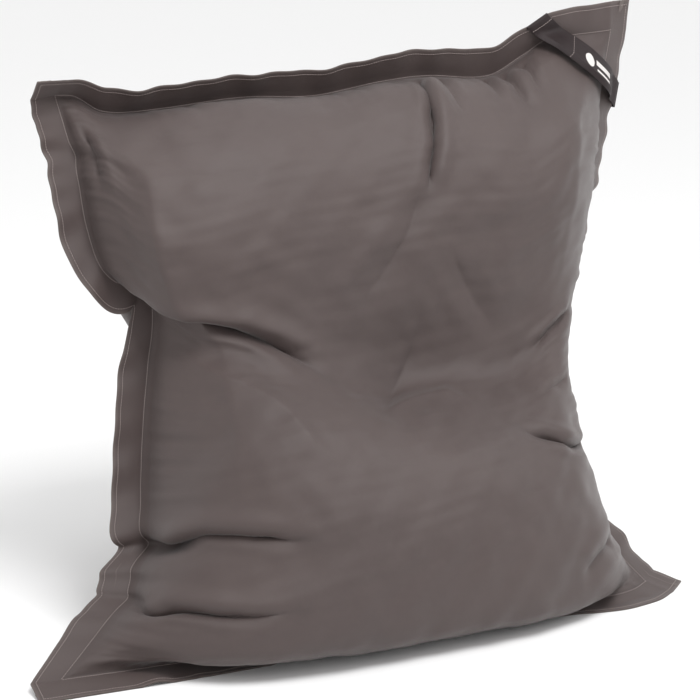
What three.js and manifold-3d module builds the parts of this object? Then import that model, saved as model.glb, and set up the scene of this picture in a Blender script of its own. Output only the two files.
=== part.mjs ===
// Large pillow bean bag stood up on its short edge as a chair.
// Two flat rectangles of cloth are sewn together a hand's width inside their
// edge, so a flat double border runs all round.  The bag is filled with loose
// beads, a dark strap crosses the top right corner, and a zip crosses the
// back below the top seam.
// Millimetres, +Z up, front towards -Y, standing on the floor at z = 0.
import * as THREE from 'three';
import Module from 'manifold-3d';
import { mergeVertices } from 'three/addons/utils/BufferGeometryUtils.js';

// ---- driving sizes ----
const FLAT_WIDTH = 1400;      // cut width of the cloth, border included
const FLAT_LENGTH = 1800;     // cut length of the cloth, border included
const BORDER = 58;            // inner seam to the cloth's edge
const CLOTH = 1.2;            // one layer of coated polyester with its hem
const LAYER_GAP = 0.5;        // between the two layers of the border
const SKIN_GAP = 0.6;         // cloth to beads
const FILL_STEPS_IN = 2;      // grid lines between the seam and the beads
const GROOVE = 0.075;         // how far in the groove round the beads' edge reaches

const STRAP_WIDTH = 50;
const STRAP_THICK = 1.4;
const STRAP_STANDOFF = 40 + STRAP_WIDTH / 2;  // how far its loop stands forward
const STRAP_TUCK = 28;        // length sewn down behind the border
const STRAP_REST = STRAP_WIDTH / 12;  // off the border, which curves under its width
const STRAP_TOP_AT = 0.85;    // where it crosses the top edge, 0 left to 1 right
const STRAP_SIDE_AT = 0.9;    // where it crosses the side edge, 0 floor to 1 top

const ZIP_LENGTH = 640;
const ZIP_HEIGHT = 800;       // above the floor, on the back
const ZIP_AT = 0.87;          // up the back cloth, 0 floor seam to 1 top seam
const ZIP_BACK_Y = 316;       // the back where the zip lies
const ZIP_FLAT_HALF = 68;     // cloth drawn flat this far above and below
const ZIP_BEADS_BACK = 5;     // beads stay this far behind the zip
const ZIP_X = 10;             // middle of the zip
const TAPE_WIDTH = 15;
const TAPE_THICK = 0.8;
const COIL_WIDTH = 3;
const COIL_THICK = 2.4;
const COIL_GAP = 1.8;         // between the two rows, the slider's post runs here
const WELT_HALF = 7;          // half of the open strip between the cloth edges
const SLIDER_LENGTH = 15;
const SLIDER_PLATE = 1.2;
const SLIDER_CLEAR = 0.4;     // running clearance round the coils
const SLIDER_LIP = 1.3;       // wall outside each coil
const LIP_LIFT = 0.6;         // lip to tape
const POST_THICK = 1.0;
const EAR_THICK = 1.6;
const EAR_LENGTH = 5;
const PIN_LIFT = 2.4;         // pin above the slider's top plate
const TAB_GAP = 0.4;          // tab to each ear
const PULL_LENGTH = 34;
const PULL_WIDTH = 9;
const PULL_THICK = 1.6;
const PULL_EYE = 2.1;         // radius of the tab's rolled eye
const PIN_RADIUS = 0.9;
const PIN_CLEAR = 0.25;
const STOP_LENGTH = 4;
const STOP_CLEAR = 0.5;       // slider to each end stop

const THREAD = 0.8;           // thread diameter
const EDGE_STITCH = 9;        // outer stitch line to the cloth's edge
const LABEL_WIDTH = 30;
const LABEL_LENGTH = 48;
const LABEL_FROM_END = 60;    // in from the left end of the zip
const LABEL_THICK = 0.4;
const TACK_LENGTH = 40;
const TACK_WIDTH = 4;
const TACK_THICK = 0.8;

// Standing shape follows the cut of the cloth.
const WIDE = FLAT_WIDTH / 1400;
const TALL = FLAT_LENGTH / 1800;
const SEAM_LENGTH = FLAT_LENGTH - 2 * BORDER;
const SEAM_WIDTH = FLAT_WIDTH - 2 * BORDER;
const SETTLE = 24;            // how far the beads press the base down and out
const EAR_REACH = 170;        // the corners hold few beads this far in
const EAR_FLATNESS = 0.75;

// ---- colours ----
const CLOTH_COLOUR = 0x5f5452;
const THREAD_COLOUR = 0x9b8f8c;
const STRAP_COLOUR = 0x1c1819;
const ZIP_COLOUR = 0x4d4442;
const METAL_COLOUR = 0x6a6462;
const BEAD_COLOUR = 0xf1f1ee;
const LABEL_COLOUR = 0xe9e7e2;

// ---- the standing shape: [parameter, x, y, z] ----
// Inner seam up the left side, from the floor corner to the top corner.
const LEFT_SEAM = [
  [0.00, -685, -325, 15], [0.05, -635, -300, 50], [0.11, -580, -260, 80],
  [0.16, -535, -220, 100], [0.20, -500, -180, 135], [0.26, -470, -140, 190],
  [0.33, -455, -100, 270], [0.41, -435, -65, 380], [0.48, -415, -40, 475],
  [0.54, -402, -20, 550], [0.60, -445, -5, 600], [0.65, -480, 10, 640],
  [0.72, -500, 35, 720], [0.80, -505, 60, 800], [0.90, -515, 90, 880],
  [1.00, -525, 120, 945],
];
// Inner seam up the right side.
const RIGHT_SEAM = [
  [0.00, 470, -315, 15], [0.07, 458, -255, 40], [0.14, 434, -195, 90],
  [0.22, 408, -130, 160], [0.32, 400, -70, 270], [0.42, 420, -30, 380],
  [0.52, 458, 0, 480], [0.62, 498, 25, 580], [0.72, 535, 55, 680],
  [0.82, 560, 85, 780], [0.91, 590, 115, 880], [1.00, 617, 130, 990],
];
// Inner seam along the floor, left to right.
const FLOOR_SEAM = [
  [0.00, -685, -325, 15], [0.16, -500, -328, 12], [0.37, -250, -324, 12],
  [0.58, 0, -320, 12], [0.80, 250, -325, 12], [0.90, 365, -347, 12],
  [0.96, 430, -338, 13], [1.00, 470, -315, 15],
];
// Inner seam along the top, left to right.
const TOP_SEAM = [
  [0.00, -525, 120, 945], [0.03, -490, 124, 940], [0.08, -437, 128, 908],
  [0.15, -355, 132, 903], [0.32, -160, 130, 915], [0.44, -20, 132, 907],
  [0.56, 120, 128, 925], [0.65, 215, 126, 930], [0.77, 350, 130, 920],
  [0.83, 425, 130, 955], [0.88, 475, 130, 980], [1.00, 617, 130, 990],
];
// Border directions, pointing away from the bag.
const LEFT_OUT = [
  [0.00, -1.0, 0.05, -0.05], [0.10, -0.85, 0.35, 0.15], [0.25, -0.97, 0.15, -0.1],
  [0.45, -0.95, -0.1, 0.1], [0.54, -0.8, -0.05, -0.4], [0.60, -0.3, -0.3, -0.9],
  [0.65, -0.45, -0.3, -0.8], [0.72, -0.9, -0.25, -0.2], [0.85, -0.95, -0.2, 0.0],
  [1.00, -0.8, -0.3, 0.0],
];
const RIGHT_OUT = [
  [0.00, 0.7, 0.7, -0.05], [0.15, 0.75, 0.65, 0.0], [0.40, 0.6, 0.8, 0.0],
  [0.60, 0.6, 0.8, -0.05], [0.80, 0.7, 0.6, -0.2], [0.92, 0.8, 0.5, -0.1],
  [1.00, 0.85, 0.4, 0.0],
];
const FLOOR_OUT = [
  [0.00, -0.05, -1.0, -0.2], [0.30, 0.0, -1.0, -0.18], [0.60, 0.0, -1.0, -0.18],
  [0.88, 0.25, -0.95, -0.18], [1.00, 0.72, -0.7, -0.18],
];
const TOP_OUT = [
  [0.00, 0.0, -0.75, 0.62], [0.10, 0.0, -0.65, 0.72], [0.30, 0.0, -0.55, 0.8],
  [0.60, 0.0, -0.4, 0.9], [0.80, 0.0, -0.3, 0.95], [1.00, 0.05, -0.1, 0.99],
];
// Outline of the middle of the front, floor seam to top seam: [t, y, z].
const FRONT_LINE = [
  [0.00, -320, 12], [0.013, -342, 23], [0.03, -385, 25], [0.06, -440, 20], [0.09, -478, 48],
  [0.14, -480, 125], [0.21, -462, 215], [0.28, -432, 288], [0.35, -376, 346],
  [0.42, -295, 388], [0.49, -215, 435], [0.55, -165, 495], [0.61, -135, 568],
  [0.68, -118, 652], [0.76, -103, 738], [0.84, -78, 818], [0.91, -32, 882],
  [0.96, 38, 922], [1.00, 130, 912],
];
// Outline of the middle of the back, floor seam to top seam: [t, y, z].
// Below the floor it is pressed flat, which is the patch the bag rests on.
const BACK_LINE = [
  [0.00, -320, 12], [0.03, -275, -6], [0.12, -130, -SETTLE], [0.22, 40, -SETTLE],
  [0.31, 190, -SETTLE], [0.38, 310, 4], [0.43, 372, 50], [0.49, 402, 140],
  [0.56, 408, 255], [0.63, 400, 370], [0.71, 378, 510], [0.79, 346, 655],
  [0.84, 326, 745], [0.87, 316, 800], [0.90, 300, 846], [0.94, 250, 900],
  [0.97, 195, 925], [1.00, 130, 912],
];
// Soft swellings and hollows of the front:
// [s, t, spread in s, spread in t, push x, push y, push z].
const FRONT_SWELLS = [
  [0.14, 0.74, 0.16, 0.13, -38, -70, -20],
  [0.80, 0.80, 0.16, 0.14, 10, -45, 0],
  [0.17, 0.40, 0.14, 0.09, 0, -30, 45],
  [0.56, 0.50, 0.17, 0.07, 0, 55, -38],
];

// The same for the back: it draws in behind the waist.
const BACK_SWELLS = [
  [0.03, 0.60, 0.10, 0.10, 90, -60, 0],
];

// ---- curves ----
// Smooth curve through rows of [parameter, values...].
function curve(rows, at) {
  const last = rows.length - 1;
  let i = 0;
  while (i < last - 1 && at > rows[i + 1][0]) {
    i += 1;
  }
  const a = rows[i];
  const b = rows[i + 1];
  const before = rows[Math.max(i - 1, 0)];
  const after = rows[Math.min(i + 2, last)];
  const span = b[0] - a[0];
  const u = (at - a[0]) / span;
  const h00 = (1 + 2 * u) * (1 - u) * (1 - u);
  const h10 = u * (1 - u) * (1 - u);
  const h01 = u * u * (3 - 2 * u);
  const h11 = u * u * (u - 1);
  const out = [];
  for (let k = 1; k < a.length; k += 1) {
    const slopeA = (b[k] - before[k]) / (b[0] - before[0]);
    const slopeB = (after[k] - a[k]) / (after[0] - a[0]);
    out.push(h00 * a[k] + h10 * span * slopeA + h01 * b[k] + h11 * span * slopeB);
  }
  return out;
}

const sized = (p) => [p[0] * WIDE, p[1] * TALL, p[2] * TALL];
const leftSeam = (t) => sized(curve(LEFT_SEAM, t));
const rightSeam = (t) => sized(curve(RIGHT_SEAM, t));
const floorSeam = (s) => sized(curve(FLOOR_SEAM, s));
const topSeam = (s) => sized(curve(TOP_SEAM, s));

function mix(a, b, w) {
  return a.map((v, k) => v * (1 - w) + b[k] * w);
}

function plus(a, b, w = 1) {
  return a.map((v, k) => v + b[k] * w);
}

function unit(a) {
  const length = Math.hypot(...a);
  return a.map((v) => v / length);
}

function cross(a, b) {
  return [
    a[1] * b[2] - a[2] * b[1],
    a[2] * b[0] - a[0] * b[2],
    a[0] * b[1] - a[1] * b[0],
  ];
}

// Surface stretched over the seam loop: the bag with nothing in it.
function seamSheet(s, t) {
  const sides = mix(leftSeam(t), rightSeam(t), s);
  const ends = mix(floorSeam(s), topSeam(s), t);
  const low = mix(leftSeam(0), rightSeam(0), s);
  const high = mix(leftSeam(1), rightSeam(1), s);
  const corners = mix(low, high, t);
  return plus(plus(sides, ends), corners, -1);
}

// Fullness across the width: nothing at the side seams, full in the middle,
// and little in the four corner ears.
function fullness(s, t, flat) {
  const side = Math.abs(2 * s - 1);
  const power = flat ? 3.4 : 2.3 + 0.9 * (1 - t);
  return Math.sqrt(Math.max(0, 1 - Math.pow(side, power))) * earSlack(s, t);
}

function earSlack(s, t) {
  const toSide = Math.min(s, 1 - s) * SEAM_WIDTH;
  const toEnd = Math.min(t, 1 - t) * SEAM_LENGTH;
  const near = (toSide * toSide + toEnd * toEnd) / (EAR_REACH * EAR_REACH);
  return 1 - EAR_FLATNESS * Math.exp(-near);
}

function nearness(value, centre, spread) {
  const d = (value - centre) / spread;
  return Math.exp(-0.5 * d * d);
}

// Front (side = 1) or back (side = -1) of the filled bag.
function skin(side, s, t) {
  const base = seamSheet(s, t);
  const middle = seamSheet(0.5, t);
  const line = side > 0 ? curve(FRONT_LINE, t) : curve(BACK_LINE, t);
  const full = fullness(s, t, side < 0);
  const push = [0, line[0] * TALL - middle[1], line[1] * TALL - middle[2]];
  let p = plus(base, push, full);
  const edge = Math.min(1, 9 * s, 9 * (1 - s), 7 * t, 7 * (1 - t));
  for (const [cs, ct, ws, wt, px, py, pz] of side > 0 ? FRONT_SWELLS : BACK_SWELLS) {
    const near = nearness(s, cs, ws) * nearness(t, ct, wt);
    p = plus(p, [px * WIDE, py * TALL, pz * TALL], near * edge);
  }
  return side > 0 ? p : flattenForZip(p, s, t);
}

// The back is drawn flat and upright where the zip is sewn in.
function zipHold(p, t) {
  const alongZip = Math.abs(p[0] - ZIP_X) - ZIP_LENGTH / 2 - 40;
  const besideZip = Math.abs(t - ZIP_AT) * SEAM_LENGTH - ZIP_FLAT_HALF;
  const away = Math.max(alongZip / 120, besideZip / 90, 0);
  return away >= 1 ? 0 : (1 - away) * (1 - away) * (1 + 2 * away);
}

function flattenForZip(p, s, t) {
  const hold = zipHold(p, t);
  if (hold === 0) {
    return p;
  }
  const level = ZIP_HEIGHT * TALL - backUntouched(s, ZIP_AT)[2];
  const wanted = ZIP_BACK_Y * TALL;
  return [p[0], p[1] * (1 - hold) + wanted * hold, p[2] + level * hold];
}

// The back before the zip flattens it.
function backUntouched(s, t) {
  const middle = seamSheet(0.5, t);
  const line = curve(BACK_LINE, t);
  const push = [0, line[0] * TALL - middle[1], line[1] * TALL - middle[2]];
  return plus(seamSheet(s, t), push, fullness(s, t, true));
}

// Border beyond the seam: straight out from it, square at the corners.
function borderPoint(s, t) {
  const sIn = Math.min(Math.max(s, 0), 1);
  const tIn = Math.min(Math.max(t, 0), 1);
  let p = seamSheet(sIn, tIn);
  if (s < 0) {
    p = plus(p, unit(curve(LEFT_OUT, tIn)), -s * BORDER);
    p = plus(p, ripple(tIn, 9, 0.4), -s * 9);
  }
  if (s > 1) {
    p = plus(p, unit(curve(RIGHT_OUT, tIn)), (s - 1) * BORDER);
    p = plus(p, ripple(tIn, 8, 1.7), (s - 1) * 9);
  }
  if (t < 0) {
    p = plus(p, unit(curve(FLOOR_OUT, sIn)), -t * BORDER);
  }
  if (t > 1) {
    p = plus(p, unit(curve(TOP_OUT, sIn)), (t - 1) * BORDER);
    p = plus(p, ripple(sIn, 6, 0.9), (t - 1) * 9);
  }
  return p;
}

// Gentle waves of the border, none at the corners.
function ripple(along, waves, phase) {
  const fade = Math.sin(Math.PI * along);
  return [0, fade * Math.sin(2 * Math.PI * waves * along + phase), 0];
}

// ---- grids ----
function steps(count, tightness) {
  const list = [];
  for (let i = 0; i <= count; i += 1) {
    const u = i / count;
    const eased = 0.5 - 0.5 * Math.cos(Math.PI * u);
    list.push(u * (1 - tightness) + eased * tightness);
  }
  return list;
}

function gridNormals(grid, side) {
  const rows = grid.length;
  const cols = grid[0].length;
  const normals = [];
  for (let j = 0; j < rows; j += 1) {
    normals.push([]);
    for (let i = 0; i < cols; i += 1) {
      let sum = [0, 0, 0];
      for (const [dj, di] of [[0, 0], [0, -1], [-1, 0], [-1, -1]]) {
        const j0 = j + dj;
        const i0 = i + di;
        if (j0 < 0 || i0 < 0 || j0 >= rows - 1 || i0 >= cols - 1) {
          continue;
        }
        const a = plus(grid[j0][i0 + 1], grid[j0][i0], -1);
        const b = plus(grid[j0 + 1][i0], grid[j0][i0], -1);
        const c = plus(grid[j0 + 1][i0 + 1], grid[j0][i0 + 1], -1);
        const d = plus(grid[j0 + 1][i0 + 1], grid[j0 + 1][i0], -1);
        const n = cross(plus(a, d), plus(b, c));
        sum = plus(sum, unit(n));
      }
      normals[j].push(unit(sum).map((v) => v * side));
    }
  }
  return normals;
}

function offsetGrid(grid, normals, distance) {
  return grid.map((row, j) => row.map((p, i) => plus(p, normals[j][i], distance)));
}

// Keeps a grid above the floor: the lowest layer lies flat on it.
function restGrid(grid, height) {
  return grid.map((row) => row.map((p) => [p[0], p[1], Math.max(p[2], height)]));
}

// One closed body between an inner and an outer grid of the same layout.
function layerBody(inner, outer, side) {
  const rows = inner.length;
  const cols = inner[0].length;
  const points = [...inner.flat(), ...outer.flat()];
  const faces = [];
  const id = (layer, j, i) => layer * rows * cols + j * cols + i;
  const quad = (a, b, c, d) => {
    const order = side > 0 ? [a, b, c, a, c, d] : [a, c, b, a, d, c];
    faces.push(...order);
  };
  for (let j = 0; j < rows - 1; j += 1) {
    for (let i = 0; i < cols - 1; i += 1) {
      quad(id(1, j, i), id(1, j, i + 1), id(1, j + 1, i + 1), id(1, j + 1, i));
      quad(id(0, j, i), id(0, j + 1, i), id(0, j + 1, i + 1), id(0, j, i + 1));
    }
  }
  for (let i = 0; i < cols - 1; i += 1) {
    quad(id(0, 0, i), id(0, 0, i + 1), id(1, 0, i + 1), id(1, 0, i));
    const top = rows - 1;
    quad(id(1, top, i), id(1, top, i + 1), id(0, top, i + 1), id(0, top, i));
  }
  for (let j = 0; j < rows - 1; j += 1) {
    quad(id(0, j + 1, 0), id(0, j, 0), id(1, j, 0), id(1, j + 1, 0));
    const end = cols - 1;
    quad(id(0, j, end), id(0, j + 1, end), id(1, j + 1, end), id(1, j, end));
  }
  return geometryOf(points, faces);
}

function geometryOf(points, faces) {
  const geometry = new THREE.BufferGeometry();
  geometry.setAttribute('position', new THREE.Float32BufferAttribute(points.flat(), 3));
  geometry.setIndex(faces);
  geometry.computeVertexNormals();
  return geometry;
}

// Flat bar of cloth or thread carried along a path: a list of
// [centre, width direction, thickness direction].
function ribbon(path, width, thick) {
  const points = [];
  for (const [centre, across, out] of path) {
    for (const [a, b] of [[-1, -1], [1, -1], [1, 1], [-1, 1]]) {
      const p = plus(plus(centre, across, a * width / 2), out, b * thick / 2);
      points.push(p);
    }
  }
  const faces = [0, 2, 1, 0, 3, 2];
  for (let k = 0; k < path.length - 1; k += 1) {
    for (let e = 0; e < 4; e += 1) {
      const a = k * 4 + e;
      const b = k * 4 + (e + 1) % 4;
      faces.push(a, b, b + 4, a, b + 4, a + 4);
    }
  }
  const z = (path.length - 1) * 4;
  faces.push(z, z + 1, z + 2, z, z + 2, z + 3);
  return geometryOf(points, faces);
}

// Closed ring of thread: five-sided cord through the given centres.
function cordRing(centres, radius) {
  const count = centres.length;
  const sides = 5;
  const points = [];
  for (let k = 0; k < count; k += 1) {
    const before = centres[(k + count - 1) % count];
    const after = centres[(k + 1) % count];
    const along = unit(plus(after, before, -1));
    const hint = Math.abs(along[1]) < 0.8 ? [0, 1, 0] : [0, 0, 1];
    const u = unit(cross(along, hint));
    const v = cross(along, u);
    for (let m = 0; m < sides; m += 1) {
      const angle = 2 * Math.PI * m / sides;
      const spoke = plus(u.map((w) => w * Math.cos(angle)), v, Math.sin(angle));
      points.push(plus(centres[k], spoke, radius));
    }
  }
  const faces = [];
  for (let k = 0; k < count; k += 1) {
    const next = (k + 1) % count;
    for (let m = 0; m < sides; m += 1) {
      const n = (m + 1) % sides;
      const a = k * sides + m;
      const b = k * sides + n;
      const c = next * sides + n;
      const d = next * sides + m;
      faces.push(a, b, c, a, c, d);
    }
  }
  return geometryOf(points, faces);
}

function meshOf(name, geometry, colour, roughness, metalness = 0) {
  const material = new THREE.MeshStandardMaterial({ color: colour, roughness, metalness });
  const mesh = new THREE.Mesh(geometry, material);
  mesh.name = name;
  return mesh;
}

// ---- cloth panels ----
const BORDER_STEPS = [0.16, 0.5, 1 - EDGE_STITCH / BORDER, 1];
const before = [...BORDER_STEPS].reverse().map((v) => -v);
const beyond = BORDER_STEPS.map((v) => 1 + v);
const LOWEST = CLOTH + LAYER_GAP / 2;     // middle of the border on the floor

function panelGrid(side, sList, tList) {
  const raw = tList.map((t) => sList.map((s) => {
    const inside = s > 0 && s < 1 && t > 0 && t < 1;
    return inside ? skin(side, s, t) : borderPoint(s, t);
  }));
  return restGrid(raw, LOWEST);
}

// Cloth lies half a layer gap outside the middle surface, inner face first.
function clothFaces(side, grid) {
  const inner = offsetGrid(grid, gridNormals(grid, side), LAYER_GAP / 2);
  const outer = offsetGrid(inner, gridNormals(inner, side), CLOTH);
  return [inner, restGrid(outer, 0)];
}

// Back cloth in two pieces, with the zip between them.
function sAtX(x, t) {
  let low = 0.02;
  let high = 0.98;
  for (let k = 0; k < 40; k += 1) {
    const half = (low + high) / 2;
    if (backUntouched(half, t)[0] < x) {
      low = half;
    } else {
      high = half;
    }
  }
  return (low + high) / 2;
}

const zipLeft = ZIP_X - ZIP_LENGTH / 2;
const zipRight = ZIP_X + ZIP_LENGTH / 2;
const zipStations = [zipLeft - 40, zipLeft - 6, zipRight + 6, zipRight + 40];
const zipColumns = zipStations.map((x) => sAtX(x, ZIP_AT));

function acrossBack() {
  const clear = (v) => zipColumns.every((z) => Math.abs(v - z) > 0.012);
  const plain = steps(26, 0.72).filter(clear);
  return [...before, ...[...plain, ...zipColumns].sort((a, b) => a - b), ...beyond];
}
const columns = acrossBack();
const flatBand = [ZIP_FLAT_HALF, ZIP_FLAT_HALF / 2].map((v) => v / SEAM_LENGTH);
const upBack = steps(32, 0.55);
const lowerRows = [
  ...before,
  ...upBack.filter((v) => v < ZIP_AT - flatBand[0] - 0.01),
  ZIP_AT - flatBand[0], ZIP_AT - flatBand[1], ZIP_AT,
];
const upperRows = [
  ZIP_AT, ZIP_AT + flatBand[1], ZIP_AT + flatBand[0],
  ...upBack.filter((v) => v > ZIP_AT + flatBand[0] + 0.006),
  ...beyond,
];

// Opens the cloth edge for the zip and closes it beyond the zip's ends.
function trimZipEdge(row, direction) {
  return row.map((p) => {
    const past = Math.abs(p[0] - ZIP_X) - ZIP_LENGTH / 2;
    const share = Math.min(Math.max((past - 7) / 30, 0), 1);
    const half = WELT_HALF * (1 - share) + 0.25 * share;
    return [p[0], p[1], p[2] + direction * half];
  });
}

// Front and back are sampled on the same lines, so the two layers never cross.
const fullRows = [...lowerRows, ...upperRows.slice(1)];
const zipRow = lowerRows.length - 1;
const frontMiddle = panelGrid(1, columns, fullRows);
const [frontInner, frontOuter] = clothFaces(1, frontMiddle);
const backMiddle = panelGrid(-1, columns, fullRows);
const backFaces = clothFaces(-1, backMiddle);

function lowerPiece(grid) {
  return [...grid.slice(0, zipRow), trimZipEdge(grid[zipRow], -1)];
}

function upperPiece(grid) {
  return [trimZipEdge(grid[zipRow], 1), ...grid.slice(zipRow + 1)];
}

const [lowerInner, lowerOuter] = backFaces.map(lowerPiece);
const [upperInner, upperOuter] = backFaces.map(upperPiece);

// ---- beads ----
const keep = BORDER_STEPS.length + FILL_STEPS_IN;
const fillFrontSkin = offsetGrid(frontMiddle, gridNormals(frontMiddle, 1), -SKIN_GAP);
const fillBackSkin = offsetGrid(backMiddle, gridNormals(backMiddle, -1), -SKIN_GAP);
const fillBackEased = fillBackSkin.map((row, j) => row.map((p) => {
  const hold = zipHold(p, fullRows[j]);
  return [p[0], p[1] - ZIP_BEADS_BACK * hold, p[2]];
}));

// Edge of the beads: a groove that follows the seam at a distance.
function grooveEdge(grid, side) {
  const rows = fullRows.slice(keep - 1, 1 - keep);
  const cols = columns.slice(keep - 1, 1 - keep);
  const inset = (v) => Math.min(Math.max(v, GROOVE), 1 - GROOVE);
  return rows.map((t, j) => cols.map((s, i) => {
    const edge = j === 0 || i === 0 || j === rows.length - 1 || i === cols.length - 1;
    if (!edge) {
      return grid[j + keep - 1][i + keep - 1];
    }
    const p = seamSheet(inset(s), inset(t));
    return [p[0], p[1] - side * 1.5, p[2]];
  }));
}

const fillFront = grooveEdge(fillFrontSkin, 1);
const fillBack = grooveEdge(fillBackEased, -1);

// ---- threads on the front of the border ----
function ringOf(grid, step) {
  const rows = grid.length - 1 - step;
  const cols = grid[0].length - 1 - step;
  const ring = [];
  for (let i = step; i < cols; i += 1) {
    ring.push([step, i]);
  }
  for (let j = step; j < rows; j += 1) {
    ring.push([j, cols]);
  }
  for (let i = cols; i > step; i -= 1) {
    ring.push([rows, i]);
  }
  for (let j = rows; j > step; j -= 1) {
    ring.push([j, step]);
  }
  return ring;
}

function threadRing(step) {
  const normals = gridNormals(frontOuter, 1);
  const lift = THREAD / 2 + 0.35;
  const centres = ringOf(frontOuter, step).map(([j, i]) => (
    plus(frontOuter[j][i], normals[j][i], lift)
  ));
  return cordRing(centres, THREAD / 2);
}

// ---- strap across the top right corner ----
function strapPath() {
  const step = 0.02;
  const top = (s, t) => borderPoint(s, t);
  const side = (t, s) => borderPoint(s, t);
  const away = (edge, from, to) => unit(plus(edge(...to), edge(...from), -1));
  const aEdge = top(STRAP_TOP_AT, 2);
  const aAlong = away(top, [STRAP_TOP_AT - step, 2], [STRAP_TOP_AT + step, 2]);
  const aIn = away(top, [STRAP_TOP_AT, 1.4], [STRAP_TOP_AT, 2]);
  const bEdge = side(STRAP_SIDE_AT, 2);
  const bAlong = away(side, [STRAP_SIDE_AT - step, 2], [STRAP_SIDE_AT + step, 2]);
  const bIn = away(side, [STRAP_SIDE_AT, 1.4], [STRAP_SIDE_AT, 2]);
  const aFront = unit(cross(aAlong, aIn));
  const bFront = unit(cross(bIn, bAlong));
  const off = LAYER_GAP / 2 + CLOTH + STRAP_REST + STRAP_THICK / 2;
  const path = [];
  const put = (edge, out, front, along, a, b, face) => {
    path.push([plus(plus(edge, out, a), front, b), along, unit(face)]);
  };
  const minus = (v) => v.map((w) => -w);
  put(aEdge, aIn, aFront, aAlong, -STRAP_TUCK, -off, minus(aFront));
  put(aEdge, aIn, aFront, aAlong, -1, -off, minus(aFront));
  put(aEdge, aIn, aFront, aAlong, 1.6, -off * 0.55, plus(aIn, aFront, -1));
  put(aEdge, aIn, aFront, aAlong, 2.2, 0, aIn);
  put(aEdge, aIn, aFront, aAlong, 1.6, off * 0.55, plus(aIn, aFront, 1));
  const a = plus(plus(aEdge, aIn, -4), aFront, off);
  const b = plus(plus(bEdge, bIn, -4), bFront, off);
  const mid = unit(plus(aFront, bFront));
  const count = 12;
  for (let k = 0; k <= count; k += 1) {
    const u = k / count;
    const rise = STRAP_STANDOFF * Math.pow(Math.sin(Math.PI * u), 0.7);
    const centre = plus(mix(a, b, u), mid, rise);
    const turn = u * u * (3 - 2 * u);
    const alongHere = unit(mix(aAlong, bAlong, turn));
    const front = unit(mix(aFront, bFront, turn));
    path.push([centre, alongHere, front]);
  }
  put(bEdge, bIn, bFront, bAlong, 1.6, off * 0.55, plus(bIn, bFront, 1));
  put(bEdge, bIn, bFront, bAlong, 2.2, 0, bIn);
  put(bEdge, bIn, bFront, bAlong, 1.6, -off * 0.55, plus(bIn, bFront, -1));
  put(bEdge, bIn, bFront, bAlong, -1, -off, minus(bFront));
  put(bEdge, bIn, bFront, bAlong, -STRAP_TUCK, -off, minus(bFront));
  const a0 = { edge: aEdge, out: aIn, along: aAlong, front: aFront };
  const b0 = { edge: bEdge, out: bIn, along: bAlong, front: bFront };
  return { path, a: a0, b: b0, off };
}

const strap = strapPath();

function tack(end) {
  const lift = strap.off + STRAP_THICK / 2 + 0.3 + TACK_THICK / 2;
  const centre = plus(plus(end.edge, end.out, -STRAP_TUCK * 0.6), end.front, -lift);
  const half = TACK_LENGTH / 2;
  const back = end.front.map((w) => -w);
  const wide = unit(cross(back, end.along));
  return ribbon([
    [plus(centre, end.along, -half), wide, back],
    [plus(centre, end.along, half), wide, back],
  ], TACK_WIDTH, TACK_THICK);
}

// ---- zip ----
const zipY = ZIP_BACK_Y * TALL;
const zipZ = ZIP_HEIGHT * TALL;

function box(x0, x1, y0, y1, z0, z1) {
  const geometry = new THREE.BoxGeometry(x1 - x0, y1 - y0, z1 - z0);
  geometry.translate((x0 + x1) / 2, (y0 + y1) / 2, (z0 + z1) / 2);
  return geometry;
}

const clothInnerY = zipY + LAYER_GAP / 2;
const tapeOut = clothInnerY - 0.3;
const tapeIn = tapeOut - TAPE_THICK;
const coilIn = tapeOut + 0.3;
const coilOut = coilIn + COIL_THICK;
const coilNear = COIL_GAP / 2;
const coilFar = coilNear + COIL_WIDTH;

function zipTape(direction) {
  const z0 = zipZ + direction * coilNear;
  const z1 = zipZ + direction * (coilNear + TAPE_WIDTH);
  return box(zipLeft, zipRight, tapeIn, tapeOut, Math.min(z0, z1), Math.max(z0, z1));
}

// Half-round coil row, flat side on the tape.
function zipCoil(direction) {
  const path = [zipLeft + STOP_LENGTH + 1, zipRight - STOP_LENGTH - 1];
  const points = [];
  const arc = 8;
  for (const x of path) {
    for (let k = 0; k <= arc; k += 1) {
      const angle = Math.PI * k / arc;
      const z = zipZ + direction * (coilNear + COIL_WIDTH / 2) - COIL_WIDTH / 2 * Math.cos(angle);
      points.push([x, coilIn + COIL_THICK * Math.sin(angle), z]);
    }
  }
  const n = arc + 1;
  const faces = [];
  for (let k = 0; k < n; k += 1) {
    const m = (k + 1) % n;
    faces.push(k, m, m + n, k, m + n, k + n);
  }
  for (let k = 1; k < arc; k += 1) {
    faces.push(0, k + 1, k, n, n + k, n + k + 1);
  }
  return geometryOf(points, faces);
}

function zipStop(x0) {
  const half = coilFar;
  return box(x0, x0 + STOP_LENGTH, coilIn, coilOut + 0.4, zipZ - half, zipZ + half);
}

// ---- slider and pull tab ----
const wasm = await Module();
wasm.setup();

function solidOf(geometry) {
  const plain = new THREE.BufferGeometry();
  const source = geometry.index ? geometry.toNonIndexed() : geometry;
  plain.setAttribute('position', source.getAttribute('position'));
  const merged = mergeVertices(plain, 1e-4);
  return new wasm.Manifold(new wasm.Mesh({
    numProp: 3,
    vertProperties: merged.getAttribute('position').array,
    triVerts: new Uint32Array(merged.index.array),
  }));
}

function geometryFrom(solid) {
  const mesh = solid.getMesh();
  const geometry = new THREE.BufferGeometry();
  geometry.setAttribute('position', new THREE.BufferAttribute(mesh.vertProperties, 3));
  geometry.setIndex(new THREE.BufferAttribute(mesh.triVerts, 1));
  geometry.computeVertexNormals();
  return geometry;
}

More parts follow.
